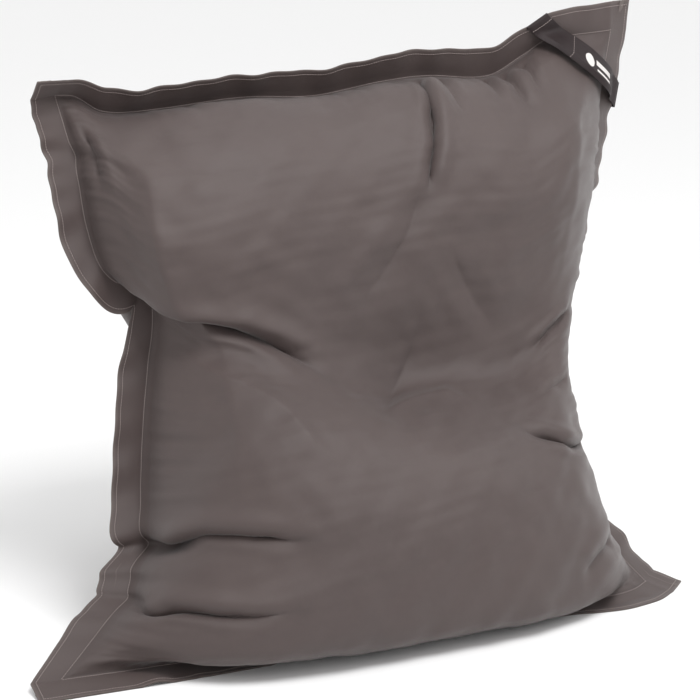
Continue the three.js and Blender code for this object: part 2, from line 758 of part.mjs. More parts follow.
const sliderRight = zipRight - STOP_LENGTH - STOP_CLEAR;
const sliderLeft = sliderRight - SLIDER_LENGTH;
const plateTop = coilOut + SLIDER_CLEAR + SLIDER_PLATE;
const plateLow = tapeIn - SLIDER_CLEAR - SLIDER_PLATE;
const sliderHalf = coilFar + SLIDER_CLEAR + SLIDER_LIP;
const pinX = sliderRight - EAR_LENGTH / 2 - 1;
const pinY = plateTop + PIN_LIFT;
const tabHalf = sliderHalf - EAR_THICK - TAB_GAP;

// Upright round bar about the hinge line.
function roundBar(radius, half) {
  const bar = new THREE.CylinderGeometry(radius, radius, half * 2, 24);
  bar.rotateX(Math.PI / 2);
  bar.translate(pinX, pinY, zipZ);
  return bar;
}

function sliderBody() {
  const z0 = zipZ - sliderHalf;
  const z1 = zipZ + sliderHalf;
  const under = coilOut + SLIDER_CLEAR;
  const parts = [
    box(sliderLeft, sliderRight, plateLow, plateLow + SLIDER_PLATE, z0, z1),
    box(sliderLeft, sliderRight, tapeOut + LIP_LIFT, plateTop, z0, z0 + SLIDER_LIP),
    box(sliderLeft, sliderRight, tapeOut + LIP_LIFT, plateTop, z1 - SLIDER_LIP, z1),
    box(
      sliderLeft, sliderLeft + 5, plateLow, under + 0.1,
      zipZ - POST_THICK / 2, zipZ + POST_THICK / 2,
    ),
    roundBar(PIN_RADIUS, sliderHalf - 0.3),
  ];
  for (const direction of [-1, 1]) {
    const outer = zipZ + direction * sliderHalf;
    const inner = outer - direction * EAR_THICK;
    const low = Math.min(outer, inner);
    const high = Math.max(outer, inner);
    const x0 = pinX - EAR_LENGTH / 2;
    parts.push(box(x0, x0 + EAR_LENGTH, plateTop - 0.4, pinY + 1.9, low, high));
  }
  let body = solidOf(box(sliderLeft, sliderRight, under, plateTop, z0, z1));
  for (const part of parts) {
    body = body.add(solidOf(part));
  }
  return geometryFrom(body);
}

// Flat tab with a rolled eye, lying towards the closed end.
function pullTab() {
  const gripStart = pinX + EAR_LENGTH / 2 + 1.5;
  const neck = box(
    pinX, gripStart + 1, pinY - PULL_THICK / 2, pinY + PULL_THICK / 2,
    zipZ - tabHalf, zipZ + tabHalf,
  );
  const grip = box(
    gripStart, pinX + PULL_LENGTH, pinY - PULL_THICK / 2, pinY + PULL_THICK / 2,
    zipZ - PULL_WIDTH / 2, zipZ + PULL_WIDTH / 2,
  );
  const tab = solidOf(roundBar(PULL_EYE, tabHalf)).add(solidOf(neck)).add(solidOf(grip));
  return geometryFrom(tab.subtract(solidOf(roundBar(PIN_RADIUS + PIN_CLEAR, sliderHalf + 2))));
}

// ---- blank care label, sewn under the zip on the outside ----
function careLabel() {
  const x0 = zipLeft + LABEL_FROM_END;
  const face = clothInnerY + CLOTH + 0.3;
  const top = zipZ - WELT_HALF - 5;
  return box(x0, x0 + LABEL_WIDTH, face, face + LABEL_THICK, top - LABEL_LENGTH, top);
}

// ---- the assembled bag ----
const group = new THREE.Group();
group.name = 'bean_bag_chair';

function add(name, geometry, colour, roughness, metalness = 0) {
  group.add(meshOf(name, geometry, colour, roughness, metalness));
}

add('front_cover', layerBody(frontInner, frontOuter, 1), CLOTH_COLOUR, 0.62);
add('back_cover_lower', layerBody(lowerInner, lowerOuter, -1), CLOTH_COLOUR, 0.62);
add('back_cover_upper', layerBody(upperInner, upperOuter, -1), CLOTH_COLOUR, 0.62);
add('bead_fill', layerBody(fillBack, fillFront, 1), BEAD_COLOUR, 0.9);
add('seam_thread', threadRing(3), THREAD_COLOUR, 0.7);
add('edge_thread', threadRing(1), THREAD_COLOUR, 0.7);
add('label_strap', ribbon(strap.path, STRAP_WIDTH, STRAP_THICK), STRAP_COLOUR, 0.4);
add('strap_tack_top', tack(strap.a), THREAD_COLOUR, 0.7);
add('strap_tack_side', tack(strap.b), THREAD_COLOUR, 0.7);
add('zip_tape_upper', zipTape(1), ZIP_COLOUR, 0.8);
add('zip_tape_lower', zipTape(-1), ZIP_COLOUR, 0.8);
add('zip_coil_upper', zipCoil(1), ZIP_COLOUR, 0.5);
add('zip_coil_lower', zipCoil(-1), ZIP_COLOUR, 0.5);
add('zip_stop_left', zipStop(zipLeft), METAL_COLOUR, 0.35, 0.9);
add('zip_stop_right', zipStop(zipRight - STOP_LENGTH), METAL_COLOUR, 0.35, 0.9);
add('zip_slider', sliderBody(), METAL_COLOUR, 0.35, 0.9);
add('zip_pull_tab', pullTab(), METAL_COLOUR, 0.35, 0.9);
add('care_label', careLabel(), LABEL_COLOUR, 0.8);

// The bag stands with the middle of its outline over the origin.
const outline = new THREE.Box3().setFromObject(group);
const middle = outline.getCenter(new THREE.Vector3());
for (const mesh of group.children) {
  mesh.geometry.translate(-middle.x, -middle.y, 0);
}

export default group;
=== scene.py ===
"""Large pillow bean bag stood up as a chair: soft cover with a wide sewn
border, corner strap, stitches, back zip and beads."""
import math
import bpy
import numpy as np
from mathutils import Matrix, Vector


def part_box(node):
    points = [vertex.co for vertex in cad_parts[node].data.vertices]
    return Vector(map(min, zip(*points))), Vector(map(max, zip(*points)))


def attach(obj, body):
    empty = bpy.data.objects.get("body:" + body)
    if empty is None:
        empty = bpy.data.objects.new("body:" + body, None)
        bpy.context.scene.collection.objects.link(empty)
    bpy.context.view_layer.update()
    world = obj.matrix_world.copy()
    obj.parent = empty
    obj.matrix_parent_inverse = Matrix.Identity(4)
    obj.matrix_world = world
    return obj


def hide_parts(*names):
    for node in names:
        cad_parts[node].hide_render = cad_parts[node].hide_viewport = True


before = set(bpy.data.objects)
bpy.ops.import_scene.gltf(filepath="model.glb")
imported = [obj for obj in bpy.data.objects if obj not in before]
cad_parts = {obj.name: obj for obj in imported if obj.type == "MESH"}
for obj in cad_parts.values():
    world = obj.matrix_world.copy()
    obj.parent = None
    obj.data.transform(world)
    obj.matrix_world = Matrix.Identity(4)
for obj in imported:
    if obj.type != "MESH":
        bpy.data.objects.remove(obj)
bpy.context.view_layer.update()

# ---------------------------------------------------------------- sizes, metres
BORDER = 0.058            # inner seam to the edge of the cloth
SEAM_WIDTH = 1.284        # cloth between the side seams
SEAM_LENGTH = 1.684       # cloth between the floor seam and the top seam
CLOTH = 0.0012            # thickness of one layer at its hem
STRAP_WIDTH = 0.05
STRAP_TOP_AT = 0.85       # where the strap crosses the top edge
STRAP_SIDE_AT = 0.9       # where it crosses the side edge
EDGE_STITCH = 0.009       # outer stitch line to the edge of the cloth
SEAM_STITCH = 0.0024      # inner stitch line outside the seam
ZIP_TAPE_SET = 0.31595    # outer face of the zip tape, before the outline is centred

tape_low, tape_high = (np.array(c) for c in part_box("zip_tape_upper"))
MOVED = np.array([(tape_low[0] + tape_high[0]) / 2 - 0.010, tape_high[1] - ZIP_TAPE_SET, 0.0])

# Rows of parameter, x, y, z in millimetres.
LEFT_SEAM = np.array([
    [0.00, -685, -325, 15], [0.05, -635, -300, 50], [0.11, -580, -260, 80],
    [0.16, -535, -220, 100], [0.20, -500, -180, 135], [0.26, -470, -140, 190],
    [0.33, -455, -100, 270], [0.41, -435, -65, 380], [0.48, -415, -40, 475],
    [0.54, -402, -20, 550], [0.60, -445, -5, 600], [0.65, -480, 10, 640],
    [0.72, -500, 35, 720], [0.80, -505, 60, 800], [0.90, -515, 90, 880],
    [1.00, -525, 120, 945]])
RIGHT_SEAM = np.array([
    [0.00, 470, -315, 15], [0.07, 458, -255, 40], [0.14, 434, -195, 90],
    [0.22, 408, -130, 160], [0.32, 400, -70, 270], [0.42, 420, -30, 380],
    [0.52, 458, 0, 480], [0.62, 498, 25, 580], [0.72, 535, 55, 680],
    [0.82, 560, 85, 780], [0.91, 590, 115, 880], [1.00, 617, 130, 990]])
FLOOR_SEAM = np.array([
    [0.00, -685, -325, 15], [0.16, -500, -328, 12], [0.37, -250, -324, 12],
    [0.58, 0, -320, 12], [0.80, 250, -325, 12], [0.90, 365, -347, 12],
    [0.96, 430, -338, 13], [1.00, 470, -315, 15]])
TOP_SEAM = np.array([
    [0.00, -525, 120, 945], [0.03, -490, 124, 940], [0.08, -437, 128, 908],
    [0.15, -355, 132, 903], [0.32, -160, 130, 915], [0.44, -20, 132, 907],
    [0.56, 120, 128, 925], [0.65, 215, 126, 930], [0.77, 350, 130, 920],
    [0.83, 425, 130, 955], [0.88, 475, 130, 980], [1.00, 617, 130, 990]])
LEFT_OUT = np.array([
    [0.00, -1.0, 0.05, -0.05], [0.10, -0.85, 0.35, 0.15], [0.25, -0.97, 0.15, -0.1],
    [0.45, -0.95, -0.1, 0.1], [0.54, -0.8, -0.05, -0.4], [0.60, -0.3, -0.3, -0.9],
    [0.65, -0.45, -0.3, -0.8], [0.72, -0.9, -0.25, -0.2], [0.85, -0.95, -0.2, 0.0],
    [1.00, -0.8, -0.3, 0.0]])
RIGHT_OUT = np.array([
    [0.00, 0.7, 0.7, -0.05], [0.15, 0.75, 0.65, 0.0], [0.40, 0.6, 0.8, 0.0],
    [0.60, 0.6, 0.8, -0.05], [0.80, 0.7, 0.6, -0.2], [0.92, 0.8, 0.5, -0.1],
    [1.00, 0.85, 0.4, 0.0]])
FLOOR_OUT = np.array([
    [0.00, -0.05, -1.0, -0.2], [0.30, 0.0, -1.0, -0.18], [0.60, 0.0, -1.0, -0.18],
    [0.88, 0.25, -0.95, -0.18], [1.00, 0.72, -0.7, -0.18]])
TOP_OUT = np.array([
    [0.00, 0.0, -0.75, 0.62], [0.10, 0.0, -0.65, 0.72], [0.30, 0.0, -0.55, 0.8],
    [0.60, 0.0, -0.4, 0.9], [0.80, 0.0, -0.3, 0.95], [1.00, 0.05, -0.1, 0.99]])
# Rows of parameter, y, z: the outline of the middle of the front and the back.
# Below the floor the back is pressed flat.
FRONT_LINE = np.array([
    [0.00, -320, 12], [0.013, -342, 23], [0.03, -385, 25], [0.06, -440, 20],
    [0.09, -478, 48], [0.14, -480, 125], [0.21, -462, 215], [0.28, -432, 288],
    [0.35, -376, 346], [0.42, -295, 388], [0.49, -215, 435], [0.55, -165, 495],
    [0.61, -135, 568], [0.68, -118, 652], [0.76, -103, 738], [0.84, -78, 818],
    [0.91, -32, 882], [0.96, 38, 922], [1.00, 130, 912]])
BACK_LINE = np.array([
    [0.00, -320, 12], [0.03, -275, -6], [0.12, -130, -24], [0.22, 40, -24],
    [0.31, 190, -24], [0.38, 310, 4], [0.43, 372, 50], [0.49, 402, 140],
    [0.56, 408, 255], [0.63, 400, 370], [0.71, 378, 510], [0.79, 346, 655],
    [0.84, 326, 745], [0.87, 316, 800], [0.90, 300, 846], [0.94, 250, 900],
    [0.97, 195, 925], [1.00, 130, 912]])
# Soft swellings and hollows: s, t, spread in s, spread in t, push x, y, z.
FRONT_SWELLS = [
    (0.14, 0.74, 0.16, 0.13, -38, -70, -20),
    (0.80, 0.80, 0.16, 0.14, 10, -45, 0),
    (0.17, 0.40, 0.14, 0.09, 0, -30, 45),
    (0.56, 0.50, 0.17, 0.07, 0, 55, -38)]
# The same for the back: it draws in behind the waist.
BACK_SWELLS = [(0.03, 0.60, 0.10, 0.10, 90, -60, 0)]
ZIP_AT = 0.87
ZIP_X = 10.0
ZIP_LENGTH = 640.0
ZIP_HEIGHT = 800.0
ZIP_BACK_Y = 316.0


def curve(rows, at):
    """Smooth curve through rows of parameter and values: a cubic on each span
    whose end slopes are those of the chords through the neighbouring rows."""
    at = np.asarray(at, float)
    knots = rows[:, 0]
    last = len(knots) - 1
    i = np.clip(np.searchsorted(knots, at, side="left") - 1, 0, last - 1)
    lo = np.maximum(i - 1, 0)
    hi = np.minimum(i + 2, last)
    span = knots[i + 1] - knots[i]
    u = ((at - knots[i]) / span)[..., None]
    a, b = rows[i][..., 1:], rows[i + 1][..., 1:]
    before, after = rows[lo][..., 1:], rows[hi][..., 1:]
    slope_a = (b - before) / (knots[i + 1] - knots[lo])[..., None] * span[..., None]
    slope_b = (after - a) / (knots[hi] - knots[i])[..., None] * span[..., None]
    return ((1 + 2 * u) * (1 - u) ** 2 * a + u * (1 - u) ** 2 * slope_a
            + u * u * (3 - 2 * u) * b + u * u * (u - 1) * slope_b)


def unit(v):
    return v / np.maximum(np.linalg.norm(v, axis=-1, keepdims=True), 1e-12)


def seam_sheet(s, t):
    """Surface stretched over the seam loop: the two side seams blended across,
    plus the floor and top seams blended upwards, less the corners' blend."""
    s_, t_ = s[..., None], t[..., None]
    left, right = curve(LEFT_SEAM, t), curve(RIGHT_SEAM, t)
    low, high = curve(FLOOR_SEAM, s), curve(TOP_SEAM, s)
    corner_low = LEFT_SEAM[0, 1:] * (1 - s_) + RIGHT_SEAM[0, 1:] * s_
    corner_high = LEFT_SEAM[-1, 1:] * (1 - s_) + RIGHT_SEAM[-1, 1:] * s_
    return (left * (1 - s_) + right * s_ + low * (1 - t_) + high * t_
            - corner_low * (1 - t_) - corner_high * t_)


def fullness(s, t, back):
    """Nothing at the side seams, full in the middle: the root of one less a
    power of the distance from the middle, and little in the corners."""
    power = 3.4 if back else 2.3 + 0.9 * (1 - t)
    return np.sqrt(np.clip(1 - np.abs(2 * s - 1) ** power, 0, None)) * ear_slack(s, t)


def ear_slack(s, t):
    """The corners hold few beads: one less a bell curve of the distance to
    the nearest corner."""
    side = np.minimum(s, 1 - s) * SEAM_WIDTH
    end = np.minimum(t, 1 - t) * SEAM_LENGTH
    return 1 - 0.75 * np.exp(-(side ** 2 + end ** 2) / 0.17 ** 2)


def skin(side, s, t):
    """Front (1) or back (-1) of the filled bag in millimetres: the seam sheet
    pushed out to the middle outline in proportion to the fullness."""
    base = seam_sheet(s, t)
    middle = seam_sheet(np.full_like(s, 0.5), t)
    line = curve(FRONT_LINE if side > 0 else BACK_LINE, t)
    push = np.zeros_like(base)
    push[..., 1:] = line - middle[..., 1:]
    p = base + push * fullness(s, t, side < 0)[..., None]
    edge = np.minimum.reduce([np.ones_like(s), 9 * s, 9 * (1 - s), 7 * t, 7 * (1 - t)])
    for cs, ct, ws, wt, *shift in FRONT_SWELLS if side > 0 else BACK_SWELLS:
        near = np.exp(-0.5 * ((s - cs) / ws) ** 2 - 0.5 * ((t - ct) / wt) ** 2)
        p = p + (near * edge)[..., None] * np.array(shift, float)
    return p if side > 0 else flatten_for_zip(p, s, t)


def flatten_for_zip(p, s, t):
    """The back is drawn flat and upright where the zip is sewn in."""
    zip_row = np.full_like(s, ZIP_AT)
    middle = seam_sheet(np.full_like(s, 0.5), zip_row)
    push = np.zeros_like(p)
    push[..., 1:] = curve(BACK_LINE, zip_row) - middle[..., 1:]
    level = ZIP_HEIGHT - (seam_sheet(s, zip_row) + push * fullness(s, zip_row, True)[..., None])[..., 2]
    along = (np.abs(p[..., 0] - ZIP_X) - ZIP_LENGTH / 2 - 40) / 120
    beside = (np.abs(t - ZIP_AT) * SEAM_LENGTH * 1000 - 68) / 90
    away = np.clip(np.maximum(along, beside), 0, 1)
    hold = (1 - away) ** 2 * (1 + 2 * away)
    q = p.copy()
    q[..., 1] = p[..., 1] * (1 - hold) + ZIP_BACK_Y * hold
    q[..., 2] = p[..., 2] + level * hold
    return q


def zip_hold(points, t):
    """How far the zip holds the back cloth flat: 1 beside it, eased to 0."""
    along = (np.abs((points[..., 0] - MOVED[0]) * 1000 - ZIP_X) - ZIP_LENGTH / 2 - 20) / 80
    beside = (np.abs(t - ZIP_AT) * SEAM_LENGTH * 1000 - 45) / 60
    away = np.clip(np.maximum(along, beside), 0, 1)
    return (1 - away) ** 2 * (1 + 2 * away)


# ------------------------------------------------------------ mesh helpers
def grid_faces(ids, flip=False):
    """Quads of a grid of vertex numbers, each row joined to the next."""
    a, b, c, d = ids[:-1, :-1], ids[:-1, 1:], ids[1:, 1:], ids[1:, :-1]
    quads = np.stack([a, d, c, b] if flip else [a, b, c, d], -1)
    return quads.reshape(-1, 4)


def mesh_object(name, points, faces, uv=None, smooth=True, values=None):
    """Mesh from whole arrays; uv and values hold one row per vertex."""
    mesh = bpy.data.meshes.new(name)
    mesh.vertices.add(len(points))
    mesh.vertices.foreach_set("co", np.asarray(points, np.float32).ravel())
    faces = np.asarray(faces, np.int32)
    mesh.loops.add(faces.size)
    mesh.loops.foreach_set("vertex_index", faces.ravel())
    mesh.polygons.add(len(faces))
    mesh.polygons.foreach_set("loop_start", np.arange(len(faces), dtype=np.int32) * faces.shape[1])
    mesh.update(calc_edges=True)
    mesh.polygons.foreach_set("use_smooth", np.full(len(faces), smooth))
    if uv is not None:
        layer = mesh.uv_layers.new(name="cloth")
        layer.data.foreach_set("uv", np.asarray(uv, np.float32)[faces.ravel()].ravel())
    for key, column in (values or {}).items():
        layer = mesh.attributes.new(key, "FLOAT", "POINT")
        layer.data.foreach_set("value", np.asarray(column, np.float32))
    mesh.validate()
    made = bpy.data.objects.new(name, mesh)
    bpy.context.collection.objects.link(made)
    return made


def vertex_normals(grid):
    """Unit normals of a grid of points, from the cross of its two slopes."""
    return unit(np.cross(np.gradient(grid, axis=1), np.gradient(grid, axis=0)))


# ------------------------------------------------------------ cloth pattern
COLUMNS = 120             # cells across between the side seams
ROWS = 156                # cells up between the floor and top seams
EDGE_CELLS = 6            # cells across the border
ZIP_ROW = 136             # the row of the grid that lies along the zip


def border_mesh_point(s, t):
    """Border beyond the seam: straight out along the side's direction, and
    the sum of both directions in the corners."""
    si, ti = np.clip(s, 0, 1), np.clip(t, 0, 1)
    p = seam_sheet(si, ti)
    out = BORDER * 1000
    p = p + unit(curve(LEFT_OUT, ti)) * (np.clip(-s, 0, None) * out)[..., None]
    p = p + unit(curve(RIGHT_OUT, ti)) * (np.clip(s - 1, 0, None) * out)[..., None]
    p = p + unit(curve(FLOOR_OUT, si)) * (np.clip(-t, 0, None) * out)[..., None]
    p = p + unit(curve(TOP_OUT, si)) * (np.clip(t - 1, 0, None) * out)[..., None]
    return p


def weigh(obj, name, weights):
    """Vertex group from an array of weights, laid in steps of a fiftieth."""
    group = obj.vertex_groups.new(name=name)
    level = np.round(np.clip(weights, 0, 1) * 50).astype(int)
    for value in np.unique(level):
        if value > 0:
            group.add(np.flatnonzero(level == value).tolist(), float(value) / 50, "REPLACE")
    return group


def simulate(points, faces, hold, puff, slack, frames, pressure, slackness, stiff):
    """Lets the cloth settle: hold pulls each point back to its place (1 is
    fixed), puff is where the beads press, slack is where the cloth is longer
    than the shape it covers, so it has to wrinkle."""
    work = mesh_object("settling", points, faces)
    weigh(work, "hold", hold)
    weigh(work, "puff", puff)
    weigh(work, "slack", slack)
    cloth = work.modifiers.new("settling", "CLOTH")
    rule = cloth.settings
    rule.quality = 6
    rule.mass = 0.02
    rule.air_damping = 6
    rule.tension_stiffness = 20
    rule.compression_stiffness = 20
    rule.shear_stiffness = 8
    rule.bending_stiffness = stiff
    rule.tension_damping = 10
    rule.compression_damping = 10
    rule.shear_damping = 10
    rule.bending_damping = 1.0
    rule.vertex_group_mass = "hold"
    rule.pin_stiffness = 1.0
    rule.use_pressure = True
    rule.uniform_pressure_force = pressure
    rule.vertex_group_pressure = "puff"
    rule.vertex_group_shrink = "slack"
    rule.shrink_min = 0.0
    rule.shrink_max = -slackness
    rule.effector_weights.gravity = 0.0
    cloth.collision_settings.use_collision = False
    cloth.collision_settings.use_self_collision = False
    cloth.point_cache.frame_start = 1
    cloth.point_cache.frame_end = frames
    scene = bpy.context.scene
    for step in range(1, frames + 1):
        scene.frame_set(step)
    seen = work.evaluated_get(bpy.context.evaluated_depsgraph_get())
    out = np.empty(len(points) * 3, np.float32)
    seen.data.vertices.foreach_get("co", out)
    scene.frame_set(1)
    mesh = work.data
    bpy.data.objects.remove(work)
    bpy.data.meshes.remove(mesh)
    return out.reshape(-1, 3).astype(float)


def finer(grid, axis, breaks):
    """Twice the cells along one axis: each new point is nine sixteenths of
    its two neighbours less a sixteenth of the next two. The runs between the
    breaks are done apart, so a seam stays sharp."""
    grid = np.moveaxis(grid, axis, 0)
    runs = []
    for low, high in zip(breaks[:-1], breaks[1:]):
        run = grid[low:high + 1]
        ends = np.concatenate([2 * run[:1] - run[1:2], run, 2 * run[-1:] - run[-2:-1]])
        between = (9 * (ends[1:-2] + ends[2:-1]) - ends[:-3] - ends[3:]) / 16
        out = np.empty((2 * len(run) - 1,) + run.shape[1:])
        out[0::2] = run
        out[1::2] = between
        runs.append(out if not runs else out[1:])
    return np.moveaxis(np.concatenate(runs), 0, axis)


def smooth_line(points, count):
    """Even samples on a smooth curve through a few points."""
    points = np.asarray(points, float)
    steps = np.linalg.norm(np.diff(points, axis=0), axis=1)
    rows = np.column_stack([np.concatenate([[0], np.cumsum(steps)]), points])
    return curve(rows, np.linspace(0, rows[-1, 0], count))


def offset_from_line(x, y, line):
    """Nearest point of a line for each cloth point: how far along it (0 to 1),
    the signed distance to it, and the unit direction away from it."""
    best = np.full(x.shape, np.inf)
    along, side = np.zeros(x.shape), np.ones(x.shape)
    away = np.zeros(x.shape + (2,))
    last = len(line) - 1
    for k in range(last):
        a, d = line[k], line[k + 1] - line[k]
        u = np.clip(((x - a[0]) * d[0] + (y - a[1]) * d[1]) / (d @ d), 0, 1)
        ox, oy = x - a[0] - u * d[0], y - a[1] - u * d[1]
        far = np.hypot(ox, oy)
        near = far < best
        best = np.where(near, far, best)
        along = np.where(near, (k + u) / last, along)
        side = np.where(near, np.sign(d[0] * oy - d[1] * ox), side)
        away[near] = np.stack([ox, oy], -1)[near]
    return along, best * side, unit(away)


def eased(u, width):
    """Smooth step from 0 to 1 over the first width of u; no step if it is 0."""
    if width == 0:
        return np.ones_like(u)
    v = np.clip(u / width, 0, 1)
    return v * v * (3 - 2 * v)


def folded(grid, x, y, folds, fade, outward=1):
    """Cloth with folds pressed in. Across each fold the cloth drops along its
    normal by depth times exp(-distance / width), rises in a lip on both sides,
    and is drawn in sideways towards the fold. A positive lean carries the
    cloth on the left of the line over the fold, a negative one the right."""
    normal = vertex_normals(grid) * outward
    across = unit(np.gradient(grid, axis=1))
    up = unit(np.gradient(grid, axis=0))
    moved = np.zeros_like(grid)
    for points, depth, width, lip, lean, (start, end) in folds:
        line = smooth_line(np.array(points) * [SEAM_WIDTH, SEAM_LENGTH], 40)
        along, signed, away = offset_from_line(x, y, line)
        d = signed / width
        far = np.abs(d)
        strength = eased(along, start) * eased(1 - along, end)
        rise = -depth * np.exp(-far) + lip * np.exp(-((far - 1.9) / 0.9) ** 2)
        pull = 0.5 * depth * far * np.exp(-far * far)
        over = abs(lean) * np.exp(-((np.sign(lean) * d - 1.6) / 1.3) ** 2)
        rise = rise + 0.7 * over
        slide = -pull - over * np.sign(lean) * np.sign(signed)
        direction = away[..., :1] * across + away[..., 1:] * up
        moved += strength[..., None] * (rise[..., None] * normal + slide[..., None] * direction)
    return grid + moved * fade[..., None]


def swell(x, y, seed, scale, count):
    """Gentle uneven surface, about -1 to 1: a sum of waves in seeded
    directions whose lengths spread around the scale."""
    draw = np.random.default_rng(seed)
    total = np.zeros_like(x)
    for _ in range(count):
        angle, phase = draw.uniform(0, 2 * np.pi, 2)
        number = 2 * np.pi / (scale * draw.uniform(0.6, 1.8))
        total += np.sin(number * (x * np.cos(angle) + y * np.sin(angle)) + phase)
    return total / math.sqrt(count)


def puckers(q, seed):
    """Gathers along a seam, about -1 to 1: three waves of 30, 52 and 95 mm
    with a slow swing in strength."""
    draw = np.random.default_rng(seed)
    a, b, c, d = draw.uniform(0, 2 * np.pi, 4)
    swing = 0.6 + 0.4 * np.sin(2 * np.pi * q / 0.37 + d)
    return swing * (0.45 * np.sin(2 * np.pi * q / 0.030 + a + 2 * np.sin(q * 9)) +
                    0.65 * np.sin(2 * np.pi * q / 0.052 + b) + 0.5 * np.sin(2 * np.pi * q / 0.095 + c))


# ------------------------------------------------------------ the whole cover
s_core = np.linspace(0, 1, COLUMNS + 1)
t_core = np.interp(np.arange(ROWS + 1), [0, ZIP_ROW, ROWS], [0, ZIP_AT, 1])
before = -np.arange(EDGE_CELLS, 0, -1) / EDGE_CELLS
beyond = 1 + np.arange(1, EDGE_CELLS + 1) / EDGE_CELLS
S, T = np.meshgrid(np.concatenate([before, s_core, beyond]), np.concatenate([before, t_core, beyond]))
core = (slice(EDGE_CELLS, EDGE_CELLS + ROWS + 1), slice(EDGE_CELLS, EDGE_CELLS + COLUMNS + 1))
front = border_mesh_point(S, T)
front[core] = skin(1, S[core], T[core])
back = skin(-1, S[core], T[core])
front = front / 1000 + MOVED
back = back / 1000 + MOVED
back[..., 2] = np.maximum(back[..., 2], 0.0)

front_ids = np.arange(front.shape[0] * front.shape[1]).reshape(front.shape[:2])
back_ids = np.zeros(back.shape[:2], int)
back_ids[1:-1, 1:-1] = front_ids.size + np.arange((ROWS - 1) * (COLUMNS - 1)).reshape(ROWS - 1, -1)
rim = np.ones(back.shape[:2], bool)
rim[1:-1, 1:-1] = False
back_ids[rim] = front_ids[core][rim]

front_start, back_start = front.copy(), back.copy()
points = np.concatenate([front.reshape(-1, 3), back[1:-1, 1:-1].reshape(-1, 3)])
faces = np.concatenate([grid_faces(front_ids), grid_faces(back_ids, flip=True)])
s_all = np.concatenate([S.ravel(), S[core][1:-1, 1:-1].ravel()])
t_all = np.concatenate([T.ravel(), T[core][1:-1, 1:-1].ravel()])
to_side = np.minimum(s_all, 1 - s_all) * SEAM_WIDTH
to_end = np.minimum(t_all, 1 - t_all) * SEAM_LENGTH
to_seam = np.minimum(to_side, to_end)
inside = to_seam > 1e-6
flat = np.zeros(len(points))
flat[front_ids.size:] = zip_hold(back, T[core])[1:-1, 1:-1].ravel()
hold = np.where(np.abs(to_seam) < 1e-6, 1.0, np.where(inside, 0.06, 0.04))
hold = np.maximum(hold, flat)
puff = np.where(inside, 1.0, 0.0) * (1 - flat)
slack = np.where(inside, 0.35 + 0.65 * np.exp(-to_seam / 0.12), 1.0) * (1 - flat)
settled = simulate(points, faces, hold, puff, slack, 26, 0.5, 0.045, 0.08)
front = settled[front_ids]
back = settled[back_ids]



def calmed(grid, start, fixed, rounds):
    """Evens out how far the cloth has moved from its start, except at the
    fixed points: each round takes the mean of a point's move, counted twice,
    and its four neighbours'."""
    first = grid - start
    move = first
    for _ in range(rounds):
        wide = np.pad(move, ((1, 1), (1, 1), (0, 0)), mode="edge")
        mean = (2 * move + wide[:-2, 1:-1] + wide[2:, 1:-1] + wide[1:-1, :-2] + wide[1:-1, 2:]) / 6
        move = first * fixed + mean * (1 - fixed)
    return start + move


on_seam = np.zeros(S.shape + (1,))
on_seam[core][rim] = 1
front = calmed(front, front_start, on_seam, 12)
back = calmed(back, back_start, np.maximum(rim, zip_hold(back_start, T[core]))[..., None], 12)

front_breaks_up = [0, EDGE_CELLS, EDGE_CELLS + ROWS, 2 * EDGE_CELLS + ROWS]
front_breaks_across = [0, EDGE_CELLS, EDGE_CELLS + COLUMNS, 2 * EDGE_CELLS + COLUMNS]
front = finer(finer(front, 0, front_breaks_up), 1, front_breaks_across)
back = finer(finer(back, 0, [0, ZIP_ROW, ROWS]), 1, [0, COLUMNS])
S = finer(finer(S[..., None], 0, front_breaks_up), 1, front_breaks_across)[..., 0]
T = finer(finer(T[..., None], 0, front_breaks_up), 1, front_breaks_across)[..., 0]
E, C, R = 2 * EDGE_CELLS, 2 * COLUMNS, 2 * ROWS
core = (slice(E, E + R + 1), slice(E, E + C + 1))
Sc, Tc = S[core], T[core]
X, Y = Sc * SEAM_WIDTH, Tc * SEAM_LENGTH
to_side = np.minimum(X, SEAM_WIDTH - X)
to_end = np.minimum(Y, SEAM_LENGTH - Y)
to_seam = np.minimum(to_side, to_end)
around = np.where(to_side < to_end, Y, X)
near_seam = 1 - np.exp(-(to_seam / 0.012) ** 2)

# Where a fold meets a side seam it draws the seam and the border inwards:
# side (0 left, 1 right), t, spread in t, inwards, back and up in metres.
PINCHES = [
    (0, 0.238, 0.014, 0.021, 0.010, 0), (0, 0.158, 0.012, 0.013, 0.008, 0),
    (0, 0.575, 0.030, 0.022, 0.014, 0.034), (0, 0.205, 0.013, -0.009, -0.006, 0),
    (0, 0.275, 0.020, -0.006, -0.004, 0), (0, 0.65, 0.03, -0.006, -0.002, 0.012),
    (1, 0.300, 0.018, 0.011, 0.006, 0), (1, 0.150, 0.016, 0.010, 0.006, 0),
    (1, 0.545, 0.020, 0.006, 0.004, 0), (1, 0.430, 0.018, 0.005, 0.004, 0),
    (0, 0.850, 0.022, 0.007, 0.004, 0), (1, 0.700, 0.025, 0.006, 0.003, 0),
]


def pinched(grid, s, t):
    """Moves cloth near a side seam sideways: each pinch is a bell curve of
    the distance along the seam, fading exponentially into the cloth."""
    moved = grid.copy()
    for side, at, spread, inwards, backwards, upwards in PINCHES:
        into = np.clip(s if side == 0 else 1 - s, 0, None) * SEAM_WIDTH
        share = np.exp(-((t - at) / spread) ** 2) * np.exp(-into / 0.05)
        moved[..., 0] += share * inwards * (1 if side == 0 else -1)
        moved[..., 1] += share * backwards
        moved[..., 2] += share * upwards
    return moved


